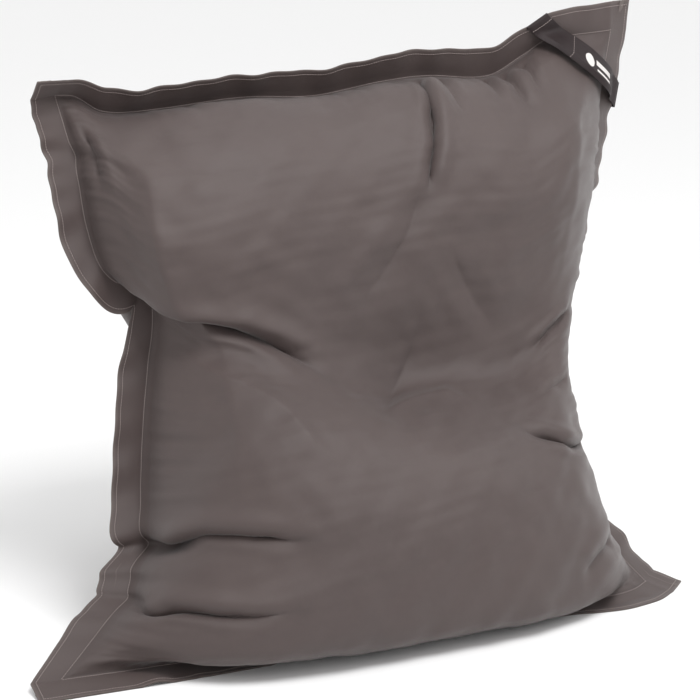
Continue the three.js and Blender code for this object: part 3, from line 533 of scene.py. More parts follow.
# Folds of the front: points as s and t, then depth, width, lip, lean, and
# the share of the length over which each end eases in and out.
FRONT_FOLDS = [
    ([(0.0, .585), (.10, .60), (.18, .59), (.22, .565), (.27, .53), (.33, .49)],
     0.040, 0.030, 0.008, 0.016, (0, 0.55)),
    ([(.02, .517), (.107, .487), (.197, .43), (.25, .37), (.317, .33)], -0.013, 0.045, 0, 0, (0.2, 0.3)),
    ([(.40, .43), (.526, .461), (.614, .461), (.664, .417)], -0.011, 0.034, 0, 0, (0.3, 0.3)),
    ([(.41, .41), (.50, .51), (.56, .61)], 0.011, 0.052, 0, 0, (0.3, 0.4)),
    ([(.62, .99), (.607, .93), (.59, .86), (.565, .77)], 0.026, 0.015, 0.005, 0.007, (0.12, 0.3)),
    ([(.56, .79), (.53, .71), (.48, .65), (.41, .61)], 0.010, 0.034, 0.003, 0, (0.2, 0.4)),
    ([(.659, .99), (.657, .95), (.66, .90)], 0.009, 0.014, 0.003, 0, (0.1, 0.5)),
    ([(.751, .99), (.748, .93)], 0.008, 0.013, 0.003, 0, (0.1, 0.5)),
    ([(.783, .99), (.79, .94), (.80, .90)], 0.010, 0.013, 0.003, 0, (0.1, 0.5)),
    ([(.816, .99), (.821, .955), (.825, .92)], 0.010, 0.013, 0.003, 0, (0.1, 0.5)),
    ([(.80, .515), (.87, .53), (.946, .543)], 0.011, 0.016, 0.004, 0.003, (0.4, 0.2)),
    ([(.82, .427), (.94, .425)], 0.007, 0.015, 0.002, 0, (0.4, 0.2)),
    ([(.73, .377), (.80, .349), (.88, .313), (.96, .30)], 0.018, 0.016, 0.005, 0.006, (0.4, 0.1)),
    ([(0, .24), (.024, .246), (.059, .265), (.097, .263), (.15, .253), (.194, .242), (.25, .235)],
     0.034, 0.017, 0.006, 0.015, (0, 0.62)),
    ([(0, .155), (.022, .148), (.05, .156), (.084, .156), (.124, .15), (.187, .144), (.26, .146)],
     0.020, 0.015, 0.005, 0.008, (0, 0.6)),
    ([(.82, .122), (.86, .13), (.90, .144), (.95, .15)], 0.011, 0.022, 0.004, 0.003, (0.3, 0.1)),
    ([(.02, .93), (.015, .85), (.02, .77)], 0.012, 0.014, 0.003, 0, (0.3, 0.3)),
    ([(.60, .70), (.66, .62), (.73, .56)], 0.006, 0.030, 0.002, 0, (0.4, 0.4)),
    ([(.10, .90), (.20, .86), (.30, .85)], 0.005, 0.032, 0.002, 0, (0.3, 0.4)),
]
BACK_FOLDS = [
    ([(0.0, .56), (.10, .575), (.20, .56), (.32, .53)], 0.022, 0.024, 0.006, 0.008, (0, 0.5)),
    ([(1.0, .50), (.90, .51), (.80, .50), (.68, .475)], 0.018, 0.022, 0.005, -0.006, (0, 0.5)),
    ([(0, .42), (.08, .42), (.17, .40)], 0.016, 0.018, 0.004, 0.005, (0, 0.5)),
    ([(1.0, .38), (.93, .385), (.84, .37)], 0.014, 0.017, 0.004, -0.004, (0, 0.5)),
    ([(.12, .99), (.14, .95), (.18, .91)], 0.012, 0.015, 0.003, 0, (0.1, 0.4)),
    ([(.86, .99), (.85, .95), (.82, .91)], 0.012, 0.015, 0.003, 0, (0.1, 0.4)),
    ([(.30, .60), (.45, .63), (.60, .61)], 0.008, 0.040, 0.003, 0, (0.4, 0.4)),
    ([(.60, .70), (.72, .66), (.84, .68)], 0.007, 0.034, 0.002, 0, (0.4, 0.4)),
    ([(.0, .70), (.07, .71), (.15, .70)], 0.012, 0.018, 0.003, 0, (0, 0.5)),
    ([(1.0, .66), (.92, .67), (.86, .66)], 0.012, 0.018, 0.003, 0, (0, 0.5)),
]

front = pinched(front, S, T)
back = pinched(back, Sc, Tc)
front_core = folded(front[core], X, Y, FRONT_FOLDS, near_seam)
gather = 0.0028 * np.exp(-to_seam / 0.05) * (1 - np.exp(-to_seam / 0.010))
uneven = 0.0016 * swell(X, Y, 5, 0.16, 18) + 0.0007 * swell(X, Y, 6, 0.06, 22)
lift = (gather * puckers(around, 3) + uneven * near_seam)[..., None]
front_core = front_core + lift * vertex_normals(front_core)

flat = zip_hold(back, Tc)
loose = near_seam * (1 - flat) * np.clip(back[..., 2] / 0.03, 0, 1)
back_core = folded(back, X, Y, BACK_FOLDS, loose, outward=-1)
lift = ((gather * puckers(around, 4) + 0.0016 * swell(X, Y, 8, 0.16, 18)) * loose)[..., None]
back_core = back_core - lift * vertex_normals(back_core)

# ---- border: front layer, and the back layer two thicknesses behind it
front[core] = front_core
out_by = np.maximum.reduce([-S, S - 1, -T, T - 1, np.zeros_like(S)])
beside = np.where((S < 0) | (S > 1), T * SEAM_LENGTH, S * SEAM_WIDTH)
wave = (0.6 * np.sin(2 * np.pi * beside / 0.083 + 1.1) + 0.7 * np.sin(2 * np.pi * beside / 0.137 + 0.4)
        + 0.5 * np.sin(2 * np.pi * beside / 0.221 + 2.2)) * np.clip(out_by, 0, 1) * 0.0034
along_side = np.clip(np.where((S < 0) | (S > 1), T, S), 0, 1)
from_corner = np.minimum(along_side, 1 - along_side) * np.where((S < 0) | (S > 1), SEAM_LENGTH, SEAM_WIDTH)
wave = wave * eased(from_corner, 0.12)
front = front + (wave * (out_by > 0))[..., None] * vertex_normals(front)
front[..., 2] = np.maximum(front[..., 2], 2.4 * CLOTH + 0.0003)
front_normal = vertex_normals(front)
LAYERS = 2.4 * CLOTH
back = front - LAYERS * front_normal
back[core] = back_core - LAYERS * (np.exp(-(to_seam / 0.010) ** 2))[..., None] * front_normal[core]
back[..., 2] = np.maximum(back[..., 2], 0.0)

# ---- the zip's opening in the back
ZIP_HALF = ZIP_LENGTH / 2000
WELT = 0.007              # half of the open strip between the cloth edges
Z_ROW = E + 2 * ZIP_ROW
EASE_ROWS = 7             # rows of cloth that make room for it
past = (np.abs(back[Z_ROW, :, 0] - MOVED[0] - ZIP_X / 1000) - ZIP_HALF - 0.0005) / 0.012
share = np.clip(past, 0, 1)
half = WELT * (1 - share) + 0.0003 * share
lower = back[:Z_ROW + 1].copy()
upper = back[Z_ROW:].copy()
for k in range(EASE_ROWS):
    lower[-1 - k, :, 2] -= half * (1 - k / EASE_ROWS)
    upper[k, :, 2] += half * (1 - k / EASE_ROWS)


def hemmed(grid, normal, axis, at_end, turn_in):
    """Adds a turned hem to one edge: a half circle of half a cloth's
    thickness, then a return of the given length behind the cloth."""
    grid, normal = np.moveaxis(grid, axis, 0), np.moveaxis(normal, axis, 0)
    if at_end:
        grid, normal = grid[::-1], normal[::-1]
    edge, out, n = grid[0], unit(grid[0] - grid[1]), normal[0]
    r = CLOTH / 2
    rows = [edge + out * r * math.sin(a) - n * r * (1 - math.cos(a)) for a in (0.8, 1.6, 2.4, math.pi)]
    rows.append(rows[-1] - out * turn_in)
    grid = np.concatenate([np.array(rows[::-1]), grid])
    normal = np.concatenate([np.repeat(n[None], 5, 0), normal])
    if at_end:
        grid, normal = grid[::-1], normal[::-1]
    return np.moveaxis(grid, 0, axis), np.moveaxis(normal, 0, axis)


def padded_like(values, hems):
    """Repeats the edge values of a grid for the rows and columns its hems add."""
    (low, high), (left, right) = hems
    return np.pad(values, ((5 * low, 5 * high), (5 * left, 5 * right)), mode="edge")


def cover_piece(name, grid, outward, s, t, hems, values, turn_in):
    """One cloth of the cover with its hems. hems says which of the low, high,
    left and right edges are turned."""
    normal = vertex_normals(grid) * outward
    (low, high), (left, right) = hems
    for axis, at_end, wanted in ((1, False, left), (1, True, right), (0, False, low), (0, True, high)):
        if wanted:
            grid, normal = hemmed(grid, normal, axis, at_end, turn_in[axis][at_end])
    grid[..., 2] = np.maximum(grid[..., 2], 0.0)
    uv = np.stack([padded_like(s * SEAM_WIDTH, hems).ravel(), padded_like(t * SEAM_LENGTH, hems).ravel()], -1)
    ids = np.arange(grid.shape[0] * grid.shape[1]).reshape(grid.shape[:2])
    columns = {key: padded_like(v, hems).ravel() for key, v in values.items()}
    return mesh_object(name, grid.reshape(-1, 3), grid_faces(ids, flip=outward < 0), uv=uv, values=columns)


s_cloth = np.where(S < 0, S * BORDER / SEAM_WIDTH, np.where(S > 1, 1 + (S - 1) * BORDER / SEAM_WIDTH, S))
t_cloth = np.where(T < 0, T * BORDER / SEAM_LENGTH, np.where(T > 1, 1 + (T - 1) * BORDER / SEAM_LENGTH, T))
worn = np.clip((out_by - 0.9) / 0.1, 0, 1)
# Mask close to the seam line: it paints shade into the seam groove in the cloth's colour and adds a little
# roughness there.
seam_near = np.exp(-((out_by * BORDER) / 0.006) ** 2)
seam_near[core] = np.exp(-(to_seam / 0.014) ** 2)
# Painted shade in the deep folds of the front: a mask that fades out from each fold line.
fold_shade_mask = np.zeros_like(S)
for points_, depth_, width_, *_rest in FRONT_FOLDS:
    if depth_ > 0.009:
        line_ = smooth_line(np.array(points_) * [SEAM_WIDTH, SEAM_LENGTH], 30)
        _, signed_, _ = offset_from_line(X, Y, line_)
        fold_shade_mask[core] = np.maximum(fold_shade_mask[core], np.exp(-np.abs(signed_) / 0.012) * min(depth_ / 0.03, 1))
soft = {"edge_wear": worn, "seam_near": seam_near, "fold_shade": fold_shade_mask}
HEM_IN = 0.03
cover_front = cover_piece("front_cover_cloth", front, 1, s_cloth, t_cloth, ((1, 1), (1, 1)), soft,
                          ((HEM_IN, HEM_IN), (HEM_IN, HEM_IN)))
plain = {"edge_wear": worn, "seam_near": seam_near, "fold_shade": np.zeros_like(S)}
cover_lower = cover_piece("back_cover_lower_cloth", lower, -1, s_cloth[:Z_ROW + 1], t_cloth[:Z_ROW + 1],
                          ((1, 1), (1, 1)), {k: v[:Z_ROW + 1] for k, v in plain.items()},
                          ((HEM_IN, 0.004), (HEM_IN, HEM_IN)))
cover_upper = cover_piece("back_cover_upper_cloth", upper, -1, s_cloth[Z_ROW:], t_cloth[Z_ROW:],
                          ((1, 1), (1, 1)), {k: v[Z_ROW:] for k, v in plain.items()},
                          ((0.004, HEM_IN), (HEM_IN, HEM_IN)))
for piece in (cover_front, cover_lower, cover_upper):
    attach(piece, "bag")

# ------------------------------------------------------------ stitches
def on_grid(grid, row, column):
    """Bilinear point of a grid at fractional rows and columns."""
    row = np.clip(row, 0, grid.shape[0] - 1.001)
    column = np.clip(column, 0, grid.shape[1] - 1.001)
    j, i = row.astype(int), column.astype(int)
    v, u = (row - j)[:, None], (column - i)[:, None]
    return ((grid[j, i] * (1 - u) + grid[j, i + 1] * u) * (1 - v)
            + (grid[j + 1, i] * (1 - u) + grid[j + 1, i + 1] * u) * v)


def evenly(points, pitch):
    """Fractional places along a line of points, one every pitch."""
    length = np.concatenate([[0], np.cumsum(np.linalg.norm(np.diff(points, axis=0), axis=1))])
    return np.interp(np.arange(pitch / 2, length[-1], pitch), length, np.arange(len(points)))


THREAD = 0.0005           # half the thickness of the sewing thread
STITCH = 0.0040           # one stitch
PITCH = 0.0050            # from one stitch to the next
THREAD_SIDES = 5


def stitches(name, centres, alongs, normals):
    """Short threads that come up out of the cloth and go down again: each is
    a tube of four rings whose middle stands proud and whose ends sink in."""
    side = unit(np.cross(normals, alongs))
    turn = 2 * np.pi * np.arange(THREAD_SIDES) / THREAD_SIDES
    rings = []
    for place, height, radius in ((-1, -0.5, 0.35), (-0.55, 0.45, 1), (0.55, 0.45, 1), (1, -0.5, 0.35)):
        middle = centres + alongs * place * STITCH / 2 + normals * height * THREAD
        ring = (middle[:, None] + side[:, None] * (np.cos(turn) * THREAD * radius)[None, :, None]
                + normals[:, None] * (np.sin(turn) * THREAD * radius)[None, :, None])
        rings.append(ring)
    points = np.stack(rings, 1)
    count = len(centres)
    ids = np.arange(points[..., 0].size).reshape(count, 4, THREAD_SIDES)
    nxt = np.roll(ids, -1, axis=2)
    quads = np.stack([ids[:, :-1], nxt[:, :-1], nxt[:, 1:], ids[:, 1:]], -1).reshape(-1, 4)
    made = mesh_object(name, points.reshape(-1, 3), quads[:, ::-1])
    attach(made, "bag")
    return made


def ring_places(out):
    """Rows and columns of a square ring at a distance outside the seam."""
    a = out / BORDER * E
    low, high_j, high_i = E - a, E + R + a, E + C + a
    n = 1600
    go_i, go_j = np.linspace(low, high_i, n), np.linspace(low, high_j, n)
    return (np.concatenate([np.full(n, low), go_j, np.full(n, high_j), go_j[::-1]]),
            np.concatenate([go_i, np.full(n, high_i), go_i[::-1], np.full(n, low)]))


def sewn_ring(grid, normal, out):
    """Centres, directions and normals of the stitches of one ring."""
    rows, cols = ring_places(out)
    line = on_grid(grid, rows, cols)
    keep = np.concatenate([[True], np.linalg.norm(np.diff(line, axis=0), axis=1) > 1e-6])
    rows, cols, line = rows[keep], cols[keep], line[keep]
    at = evenly(line, PITCH)
    pick = np.arange(len(line))
    r, c = np.interp(at, pick, rows), np.interp(at, pick, cols)
    centre = on_grid(grid, r, c)
    n = unit(on_grid(normal, r, c))
    ahead = np.stack([np.interp(at + 0.5, pick, line[:, k]) - np.interp(at - 0.5, pick, line[:, k])
                      for k in range(3)], -1)
    return centre, unit(ahead), n


back_normal = -vertex_normals(back)
EDGE_OUT = BORDER - EDGE_STITCH
front_rings = [sewn_ring(front, front_normal, out) for out in (SEAM_STITCH, EDGE_OUT)]
back_rings = [sewn_ring(back, back_normal, out) for out in (SEAM_STITCH, EDGE_OUT)]
seam_stitches = stitches("seam_stitches_front", *front_rings[0])
edge_stitches = stitches("edge_stitches_front", *front_rings[1])
seam_stitches_back = stitches("seam_stitches_back", *back_rings[0])
edge_stitches_back = stitches("edge_stitches_back", *back_rings[1])
threads = [seam_stitches, edge_stitches, seam_stitches_back, edge_stitches_back]

zip_line = []
for grid, row, step in ((lower, -1, -1), (upper, 0, 1)):
    inside_zip = np.abs(grid[row, :, 0] - MOVED[0] - ZIP_X / 1000) < ZIP_HALF + 0.01
    edge = grid[row, inside_zip] + np.array([0, 0, step * 0.003])
    at = evenly(edge, PITCH)
    pick = np.arange(len(edge))
    centre = np.stack([np.interp(at, pick, edge[:, k]) for k in range(3)], -1)
    zip_line.append(centre)
zip_centres = np.concatenate(zip_line)
threads.append(stitches("zip_stitches", zip_centres, np.tile([1.0, 0, 0], (len(zip_centres), 1)),
                        np.tile([0, 1.0, 0], (len(zip_centres), 1))))

# ------------------------------------------------------------ strap
def index_of(x, y):
    """Row and column of the cover's grid for a place on the cloth in metres."""
    col = np.where(x < 0, E + x / BORDER * E,
                   np.where(x > SEAM_WIDTH, E + C + (x - SEAM_WIDTH) / BORDER * E, E + x / SEAM_WIDTH * C))
    core_row = np.interp(np.clip(y / SEAM_LENGTH, 0, 1), Tc[:, 0], np.arange(R + 1))
    row = np.where(y < 0, E + y / BORDER * E,
                   np.where(y > SEAM_LENGTH, E + R + (y - SEAM_LENGTH) / BORDER * E, E + core_row))
    return row, col


TOP_END = np.array([STRAP_TOP_AT * SEAM_WIDTH, SEAM_LENGTH + BORDER])
SIDE_END = np.array([SEAM_WIDTH + BORDER, STRAP_SIDE_AT * SEAM_LENGTH])


def cloth_point(x, y):
    """Point and normal of the front at a place on the cloth."""
    row, col = index_of(np.atleast_1d(x), np.atleast_1d(y))
    return on_grid(front, row, col), unit(on_grid(front_normal, row, col))


def strap_end(at, along_step, inward):
    """Edge point, direction along the edge, direction out of the cloth, and
    the front's normal, where an end of the strap wraps round the border."""
    p, n = cloth_point(*at)
    a, _ = cloth_point(*(at + along_step))
    b, _ = cloth_point(*(at - along_step))
    inner, _ = cloth_point(*(at + inward))
    along = unit(a - b)[0]
    out = unit(p - inner)[0]
    n = n[0]
    out = unit(out - along * (out @ along))
    front_dir = unit(n - along * (n @ along) - out * (n @ out))
    return p[0], along, out, front_dir


end_a = strap_end(TOP_END, np.array([0.02, 0]), np.array([0, -0.02]))
end_b = strap_end(SIDE_END, np.array([0, 0.02]), np.array([-0.02, 0]))
STRAP_ALONG, STRAP_ACROSS = 96, 14
v_line = np.linspace(0, 1, STRAP_ALONG + 1)[:, None]
w_line = np.linspace(-0.5, 0.5, STRAP_ACROSS + 1)[None, :]
turn = (v_line * v_line * (3 - 2 * v_line))[..., None]
width_dir = unit(end_a[1] * (1 - turn) + end_b[1] * turn)
start_at = end_a[0] - end_a[2] * 0.001
finish_at = end_b[0] - end_b[2] * 0.001
chord = start_at * (1 - v_line[..., None]) + finish_at * v_line[..., None]
base = chord + width_dir * w_line[..., None] * STRAP_WIDTH
strap_out = unit(end_a[3] + end_b[3])
e1 = unit((finish_at - start_at) - strap_out * ((finish_at - start_at) @ strap_out))
e2 = np.cross(strap_out, e1)
near_corner = front[-90:, -90:].reshape(-1, 3)
local = np.stack([near_corner @ e1, near_corner @ e2], -1)
tall = near_corner @ strap_out
flat_base = base.reshape(-1, 3)
spot = np.stack([flat_base @ e1, flat_base @ e2], -1)
gap = ((spot[:, None] - local[None]) ** 2).sum(-1)
level = np.where(gap < 0.007 ** 2, tall[None], -9).max(1) - flat_base @ strap_out
level = np.where(level < -1, 0, level).reshape(base.shape[:2])
REACH = 7                 # cells over which the strap bridges hollows
grown = np.pad(level, ((REACH, REACH), (3, 3)), mode="edge")
grown = np.max([grown[a:a + STRAP_ALONG + 1, b:b + STRAP_ACROSS + 1]
                for a in range(2 * REACH + 1) for b in range(7)], axis=0)
bell = np.exp(-np.linspace(-1.8, 1.8, 2 * REACH + 1) ** 2)
bell = bell / bell.sum()
wide = np.pad(grown, ((REACH, REACH), (0, 0)), mode="edge")
height = sum(b * wide[k:k + STRAP_ALONG + 1] for k, b in enumerate(bell))
height = height + 0.0018 + 0.006 * np.sin(np.pi * v_line)
pin = eased(v_line, 0.05) * eased(1 - v_line, 0.05)
height = height * pin + (1 - pin) * np.minimum(height, 0.004)
top_run = base + strap_out * height[..., None]


def wrapped_end(end, first):
    """Rows that carry the strap round the edge of the border and flat behind
    it: a half circle about the border's edge, then a straight tuck."""
    p, along, out, n = end
    width = unit(first[-1] - first[0]) * STRAP_WIDTH
    across = np.linspace(-0.5, 0.5, STRAP_ACROSS + 1)[:, None]
    r = LAYERS / 2 + 0.0022
    middle = p - n * (LAYERS / 2)
    rows = [middle + out * (0.0006 + r * 0.7 * math.sin(a)) + n * r * math.cos(a) + width * across
            for a in np.linspace(0.35, math.pi, 8)]
    rows += [middle - out * k * 0.007 - n * r + width * across for k in (1, 2, 3, 4)]
    return np.array(rows)


rows_a = wrapped_end(end_a, top_run[0])[::-1]
rows_b = wrapped_end(end_b, top_run[-1])
strap_grid = np.concatenate([rows_a, top_run, rows_b])
strap_steps = np.linalg.norm(np.diff(strap_grid[:, STRAP_ACROSS // 2], axis=0), axis=1)
strap_run = np.concatenate([[0], np.cumsum(strap_steps)])
strap_uv = np.stack(np.broadcast_arrays(strap_run[:, None], w_line * STRAP_WIDTH), -1)
strap_ids = np.arange(strap_grid[..., 0].size).reshape(strap_grid.shape[:2])
strap_face = vertex_normals(strap_grid)
facing = float(np.sign((strap_face[len(strap_face) // 2, 7] * strap_out).sum()))
strap = mesh_object("corner_strap", strap_grid.reshape(-1, 3), grid_faces(strap_ids, flip=facing < 0),
                    uv=strap_uv.reshape(-1, 2))
wall = strap.modifiers.new("thickness", "SOLIDIFY")
wall.thickness = 0.0011
wall.offset = -1
bevel = strap.modifiers.new("soft_edge", "BEVEL")
bevel.width = 0.0003
bevel.segments = 2
bevel.limit_method = "ANGLE"
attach(strap, "bag")
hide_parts("label_strap")


def bar_tack(name, end, node):
    """Dense zigzag of thread across the tuck of the strap behind the border."""
    p, along, out, n = end
    middle = p - n * (LAYERS + 0.0022 + 0.0016) - out * 0.017
    count = 26
    place = np.linspace(-0.019, 0.019, count)
    sway = np.where(np.arange(count) % 2 == 0, 0.5, -0.5)
    centres = middle + along * place[:, None]
    ahead = unit(np.tile(out, (count, 1)) + along * 0.35 * sway[:, None])
    made = stitches(name, centres, ahead, np.tile(-n, (count, 1)))
    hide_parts(node)
    return made


threads.append(bar_tack("strap_bar_tack_top", end_a, "strap_tack_top"))
threads.append(bar_tack("strap_bar_tack_side", end_b, "strap_tack_side"))


def strap_rows(out_distance):
    """Stitches that run on over the strap's top end, in line with a ring."""
    picks = np.linspace(0.06, 0.94, 10) * STRAP_ACROSS
    run = out_distance / float(strap_run[len(rows_a) + STRAP_ALONG] - strap_run[len(rows_a)])
    row = np.full(10, run * STRAP_ALONG)
    centre = on_grid(top_run, row, picks)
    n = unit(on_grid(vertex_normals(top_run) * facing, row, picks))
    ahead = np.gradient(centre, axis=0)
    return centre, unit(ahead), n


SLANT = 0.8               # the strap crosses the rows at a slant, so they lie further along it
crossing = [strap_rows(EDGE_STITCH / SLANT), strap_rows((BORDER + SEAM_STITCH) / SLANT)]
threads.append(stitches("strap_stitches", *[np.concatenate(part) for part in zip(*crossing)]))
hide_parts("front_cover")
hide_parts("back_cover_lower", "bead_fill")
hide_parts("back_cover_upper")
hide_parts("seam_thread")
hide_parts("edge_thread")

# ------------------------------------------------------------ zip and label
def coil_row(name, node, mirror):
    """Sewn coil of a zip: a flattened helix of thin monofilament."""
    low, high = (np.array(c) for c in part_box(node))
    turns = int((high[0] - low[0]) / 0.0016)
    steps, sides, wire = 10, 5, 0.00032
    a = np.linspace(0, 2 * np.pi * turns, turns * steps + 1)
    middle = (low + high) / 2
    rise, reach = (high[1] - low[1]) / 2 - wire, (high[2] - low[2]) / 2 - wire
    path = np.stack([np.interp(a, [0, a[-1]], [low[0] + wire, high[0] - wire]),
                     middle[1] + rise * np.sin(a), middle[2] + mirror * reach * np.cos(a)], -1)
    ahead = unit(np.gradient(path, axis=0))
    outward = unit(np.stack([np.zeros_like(a), np.sin(a), mirror * np.cos(a)], -1))
    side = unit(np.cross(ahead, outward))
    ring = 2 * np.pi * np.arange(sides) / sides
    points = (path[:, None] + wire * (outward[:, None] * np.cos(ring)[None, :, None]
                                      + side[:, None] * np.sin(ring)[None, :, None]))
    ids = np.arange(points[..., 0].size).reshape(points.shape[:2])
    ids = np.concatenate([ids, ids[:, :1]], 1)
    made = mesh_object(name, points.reshape(-1, 3), grid_faces(ids))
    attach(made, "bag")
    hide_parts(node)
    return made


coils = [coil_row("zip_coil_turns_upper", "zip_coil_upper", -1),
         coil_row("zip_coil_turns_lower", "zip_coil_lower", 1)]

label_low, label_high = (np.array(c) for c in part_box("care_label"))
lu, lv = np.meshgrid(np.linspace(0, 1, 13), np.linspace(0, 1, 25))
curl = 0.004 * (1 - lv) ** 2 + 0.0006 * np.sin(lu * np.pi) * (1 - lv)
label_points = np.stack([label_low[0] + lu * (label_high[0] - label_low[0]), label_high[1] + curl,
                         label_low[2] + lv * (label_high[2] - label_low[2])], -1)
label = mesh_object("care_label_tape", label_points.reshape(-1, 3),
                    grid_faces(np.arange(lu.size).reshape(lu.shape), flip=True),
                    uv=np.stack([lu.ravel() * 0.03, lv.ravel() * 0.048], -1))
thick = label.modifiers.new("thickness", "SOLIDIFY")
thick.thickness = 0.0003
thick.offset = -1
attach(label, "bag")
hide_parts("care_label")

# ------------------------------------------------------------ materials
class Value:
    """A socket of a material, so that shader maths reads as arithmetic."""

    def __init__(self, sheet, socket):
        self.sheet, self.socket = sheet, socket

    def maths(self, operation, first, second=None):
        return self.sheet.node("ShaderNodeMath", {"operation": operation}, {0: first, 1: second})

    def __add__(self, other):
        return self.maths("ADD", self, other)

    def __sub__(self, other):
        return self.maths("SUBTRACT", self, other)

    def __mul__(self, other):
        return self.maths("MULTIPLY", self, other)

    def __truediv__(self, other):
        return self.maths("DIVIDE", self, other)

    def __rsub__(self, other):
        return self.maths("SUBTRACT", other, self)

    __radd__ = __add__
    __rmul__ = __mul__

    def sine(self):
        return self.maths("SINE", self)

    def size(self):
        return self.maths("ABSOLUTE", self)

    def below(self, limit):
        return self.maths("LESS_THAN", self, limit)


class Finish:
    """One procedural material and the nodes that make it."""

    def __init__(self, name, **plain):
        self.material = bpy.data.materials.new(name)
        self.material.use_nodes = True
        self.tree = self.material.node_tree
        self.shader = self.tree.nodes["Principled BSDF"]
        for key, value in plain.items():
            self.shader.inputs[key.replace("_", " ")].default_value = value

    def node(self, kind, settings=None, sockets=None, out=0):
        """Adds a node, sets it, then fills its sockets with values or links."""
        made = self.tree.nodes.new(kind)
        for key, value in (settings or {}).items():
            setattr(made, key, value)
        for key, value in (sockets or {}).items():
            if isinstance(value, Value):
                self.tree.links.new(value.socket, made.inputs[key])
            elif value is not None:
                made.inputs[key].default_value = value
        return Value(self, made.outputs[out])

    def feed(self, name, value):
        self.tree.links.new(value.socket, self.shader.inputs[name])

    def place(self):
        return self.node("ShaderNodeTexCoord", out="Object")

    def noise(self, scale, detail=3.0, rough=0.5, vector=None):
        return self.node("ShaderNodeTexNoise", None, {"Vector": vector or self.place(), "Scale": scale,
                                                      "Detail": detail, "Roughness": rough})

    def flat_place(self):
        """The cloth's own two coordinates in metres."""
        uv = self.node("ShaderNodeUVMap", {"uv_map": "cloth"})
        both = self.node("ShaderNodeSeparateXYZ", None, {0: uv})
        return both, Value(self, both.socket.node.outputs[1])

    def attribute(self, name):
        return self.node("ShaderNodeAttribute", {"attribute_name": name}, out="Fac")

    def blend(self, share, first, second):
        """Mix of two colours by a share."""
        made = self.tree.nodes.new("ShaderNodeMix")
        made.data_type = "RGBA"
        for socket, value in ((made.inputs[0], share), (made.inputs[6], first), (made.inputs[7], second)):
            if isinstance(value, Value):
                self.tree.links.new(value.socket, socket)
            else:
                socket.default_value = value
        return Value(self, made.outputs[2])

    def relief(self, height, distance, strength=1.0, under=None):
        return self.node("ShaderNodeBump", None, {"Height": height, "Distance": distance,
                                                  "Strength": strength, "Normal": under})


def grey(r, g, b):
    """Linear colour of a display colour out of 255."""
    return tuple(((v / 255 + 0.055) / 1.055) ** 2.4 for v in (r, g, b)) + (1.0,)


def weave(finish, pitch):
    """Plain weave: the product of two crossed waves of the thread pitch."""
    u, v = finish.flat_place()
    turn = 2 * math.pi / pitch
    return (u * turn).sine() * (v * turn).sine()


cloth = Finish("cover_cloth", Sheen_Weight=0.16, Sheen_Roughness=0.45, Specular_IOR_Level=0.42)
broad = cloth.noise(4.5, 4.0, 0.55)
fine = cloth.noise(70.0, 5.0, 0.6)
speck = cloth.noise(620.0, 2.0, 0.5)
wear, fold = cloth.attribute("edge_wear"), cloth.attribute("fold_shade")
seam = cloth.attribute("seam_near")
tone = cloth.blend(broad, grey(60, 49, 48), grey(73, 61, 59))
tone = cloth.blend(fine * 0.35, tone, grey(84, 74, 71))
tone = cloth.blend(wear * (fine * 0.8 + 0.1), tone, grey(98, 88, 84))
# Painted shade: the cloth is darkened in the seam grooves and in the deep folds.
tone = cloth.blend(seam * 0.22 + fold * 0.30, tone, grey(50, 42, 41))
cloth.feed("Base Color", tone)
cloth.feed("Roughness", 0.42 + broad * 0.10 + fine * 0.10 + seam * 0.05)
crumple = cloth.relief(cloth.noise(22.0, 3.0, 0.55), 0.0022, 0.22)
grain = cloth.relief(speck * 0.6 + fine * 0.8, 0.0006, 0.45, crumple)
cloth.feed("Normal", cloth.relief(weave(cloth, 0.0016), 0.00012, 0.6, grain))

thread = Finish("sewing_thread", Sheen_Weight=0.3, Roughness=0.6)
twist = thread.node("ShaderNodeTexWave", {"wave_type": "BANDS", "bands_direction": "DIAGONAL"},
                    {"Vector": thread.place(), "Scale": 420.0, "Distortion": 1.0})
thread.feed("Base Color", thread.blend(thread.noise(60.0), grey(142, 129, 125), grey(172, 158, 154)))
thread.feed("Normal", thread.relief(twist, 0.0002, 0.7))

satin = Finish("strap_satin", Specular_IOR_Level=0.28)
u, v = satin.flat_place()
seen_from, seen_to = float(strap_run[len(rows_a)]), float(strap_run[len(rows_a) + STRAP_ALONG])
middle_at = seen_from + 0.46 * (seen_to - seen_from)
disc = ((u - middle_at) * (u - middle_at) + v * v).below(0.0115 ** 2)


def bar(at, across, half_long, half_wide):
    """Plain printed bar on the strap."""
    return (u - at).size().below(half_long) * (v - across).size().below(half_wide)


mark = (disc + bar(middle_at + 0.044, 0.0045, 0.026, 0.0046)
        + bar(middle_at + 0.043, -0.0085, 0.023, 0.0020))
rib = (u * (2 * math.pi / 0.0011)).sine()
cloudy = satin.noise(14.0, 3.0, 0.5)
dark = satin.blend(cloudy, grey(27, 18, 19), grey(40, 29, 30))
satin.feed("Base Color", satin.blend(mark.below(0.5), grey(206, 202, 199), dark))
satin.feed("Roughness", 0.42 + cloudy * 0.16)
satin.feed("Normal", satin.relief(rib * 0.7 + (v * (2 * math.pi / 0.0009)).sine() * 0.3, 0.00016, 0.7))

tape = Finish("zip_tape_weave", Roughness=0.85, Sheen_Weight=0.3)
herring = tape.node("ShaderNodeTexWave", {"wave_type": "BANDS", "bands_direction": "X"},
                    {"Vector": tape.place(), "Scale": 260.0, "Distortion": 0.6})
tape.feed("Base Color", tape.blend(herring * 0.5 + tape.noise(90.0) * 0.4, grey(52, 46, 44), grey(84, 76, 73)))
tape.feed("Normal", tape.relief(herring, 0.0003, 0.7))

nylon = Finish("zip_coil_nylon", Roughness=0.38, Specular_IOR_Level=0.5)
nylon.feed("Base Color", nylon.blend(nylon.noise(40.0), grey(58, 51, 49), grey(88, 80, 77)))

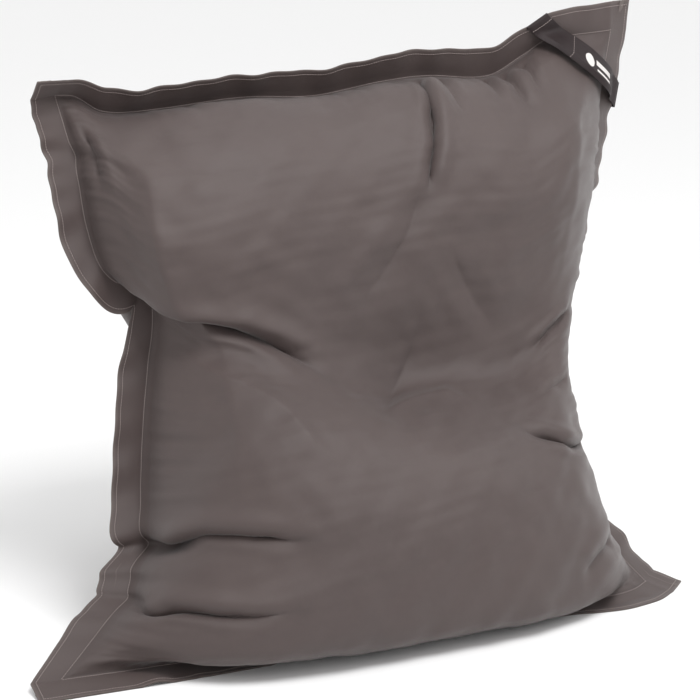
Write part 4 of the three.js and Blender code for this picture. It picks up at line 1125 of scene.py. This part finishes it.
metal = Finish("zip_metal", Metallic=1.0)
brushed = metal.noise(240.0, 4.0, 0.6)
metal.feed("Base Color", metal.blend(metal.noise(30.0), grey(120, 116, 112), grey(158, 154, 150)))
metal.feed("Roughness", 0.24 + brushed * 0.18)
metal.feed("Normal", metal.relief(brushed, 0.00008, 0.5))

paper = Finish("label_satin", Roughness=0.5, Sheen_Weight=0.2)
paper.feed("Base Color", paper.blend(paper.noise(50.0), grey(222, 219, 213), grey(236, 233, 228)))
paper.feed("Normal", paper.relief(weave(paper, 0.0008), 0.0001, 0.6))


def dress(piece, finish):
    """Gives a piece its finish; a carried-over node keeps its slots."""
    slots = piece.data.materials
    if len(slots) == 0:
        slots.append(finish.material)
    for k in range(len(slots)):
        slots[k] = finish.material


for piece in (cover_front, cover_lower, cover_upper):
    dress(piece, cloth)
for piece in threads:
    dress(piece, thread)
for piece in coils:
    dress(piece, nylon)
dress(strap, satin)
dress(label, paper)
for node in ("zip_tape_upper", "zip_tape_lower"):
    dress(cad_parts[node], tape)
for node in ("zip_stop_left", "zip_stop_right", "zip_slider", "zip_pull_tab"):
    dress(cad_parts[node], metal)

# ------------------------------------------------------------ room
floor = mesh_object("floor", [(-30, -30, 0), (30, -30, 0), (30, 30, 0), (-30, 30, 0)], [(0, 1, 2, 3)],
                    smooth=False)
pale = Finish("pale_floor", Roughness=0.85, Base_Color=(0.88, 0.88, 0.88, 1))
dress(floor, pale)
world = bpy.data.worlds.new("studio")
bpy.context.scene.world = world
world.use_nodes = True
world.node_tree.nodes["Background"].inputs["Color"].default_value = (1, 1, 1, 1)
world.node_tree.nodes["Background"].inputs["Strength"].default_value = 1.0
bpy.context.scene.view_settings.view_transform = "Standard"


def soft_light(name, place, aim, size, power):
    """Square soft box turned from its place towards a point."""
    data = bpy.data.lights.new(name, "AREA")
    data.shape = "SQUARE"
    data.size = size
    data.energy = power
    made = bpy.data.objects.new(name, data)
    made.location = place
    made.rotation_euler = (Vector(aim) - Vector(place)).to_track_quat("-Z", "Y").to_euler()
    bpy.context.collection.objects.link(made)


soft_light("key", (0.2, -1.7, 3.6), (0, 0, 0.5), 1.5, 92)
soft_light("side", (3.2, -1.6, 2.0), (0, 0, 0.5), 1.4, 8)

# ------------------------------------------------------------ camera
YAW = math.radians(24.0)
PITCH = math.radians(15.5)
DISTANCE = 4.95
aim = Vector((MOVED[0], MOVED[1], 0.442))
ahead = Vector((math.sin(YAW) * math.cos(PITCH), math.cos(YAW) * math.cos(PITCH), -math.sin(PITCH)))
lens = bpy.data.cameras.new("camera")
lens.sensor_width = 36
lens.lens = 135
camera = bpy.data.objects.new("camera", lens)
camera.location = aim - ahead * DISTANCE
camera.rotation_euler = ahead.to_track_quat("-Z", "Y").to_euler()
bpy.context.collection.objects.link(camera)
bpy.context.scene.camera = camera
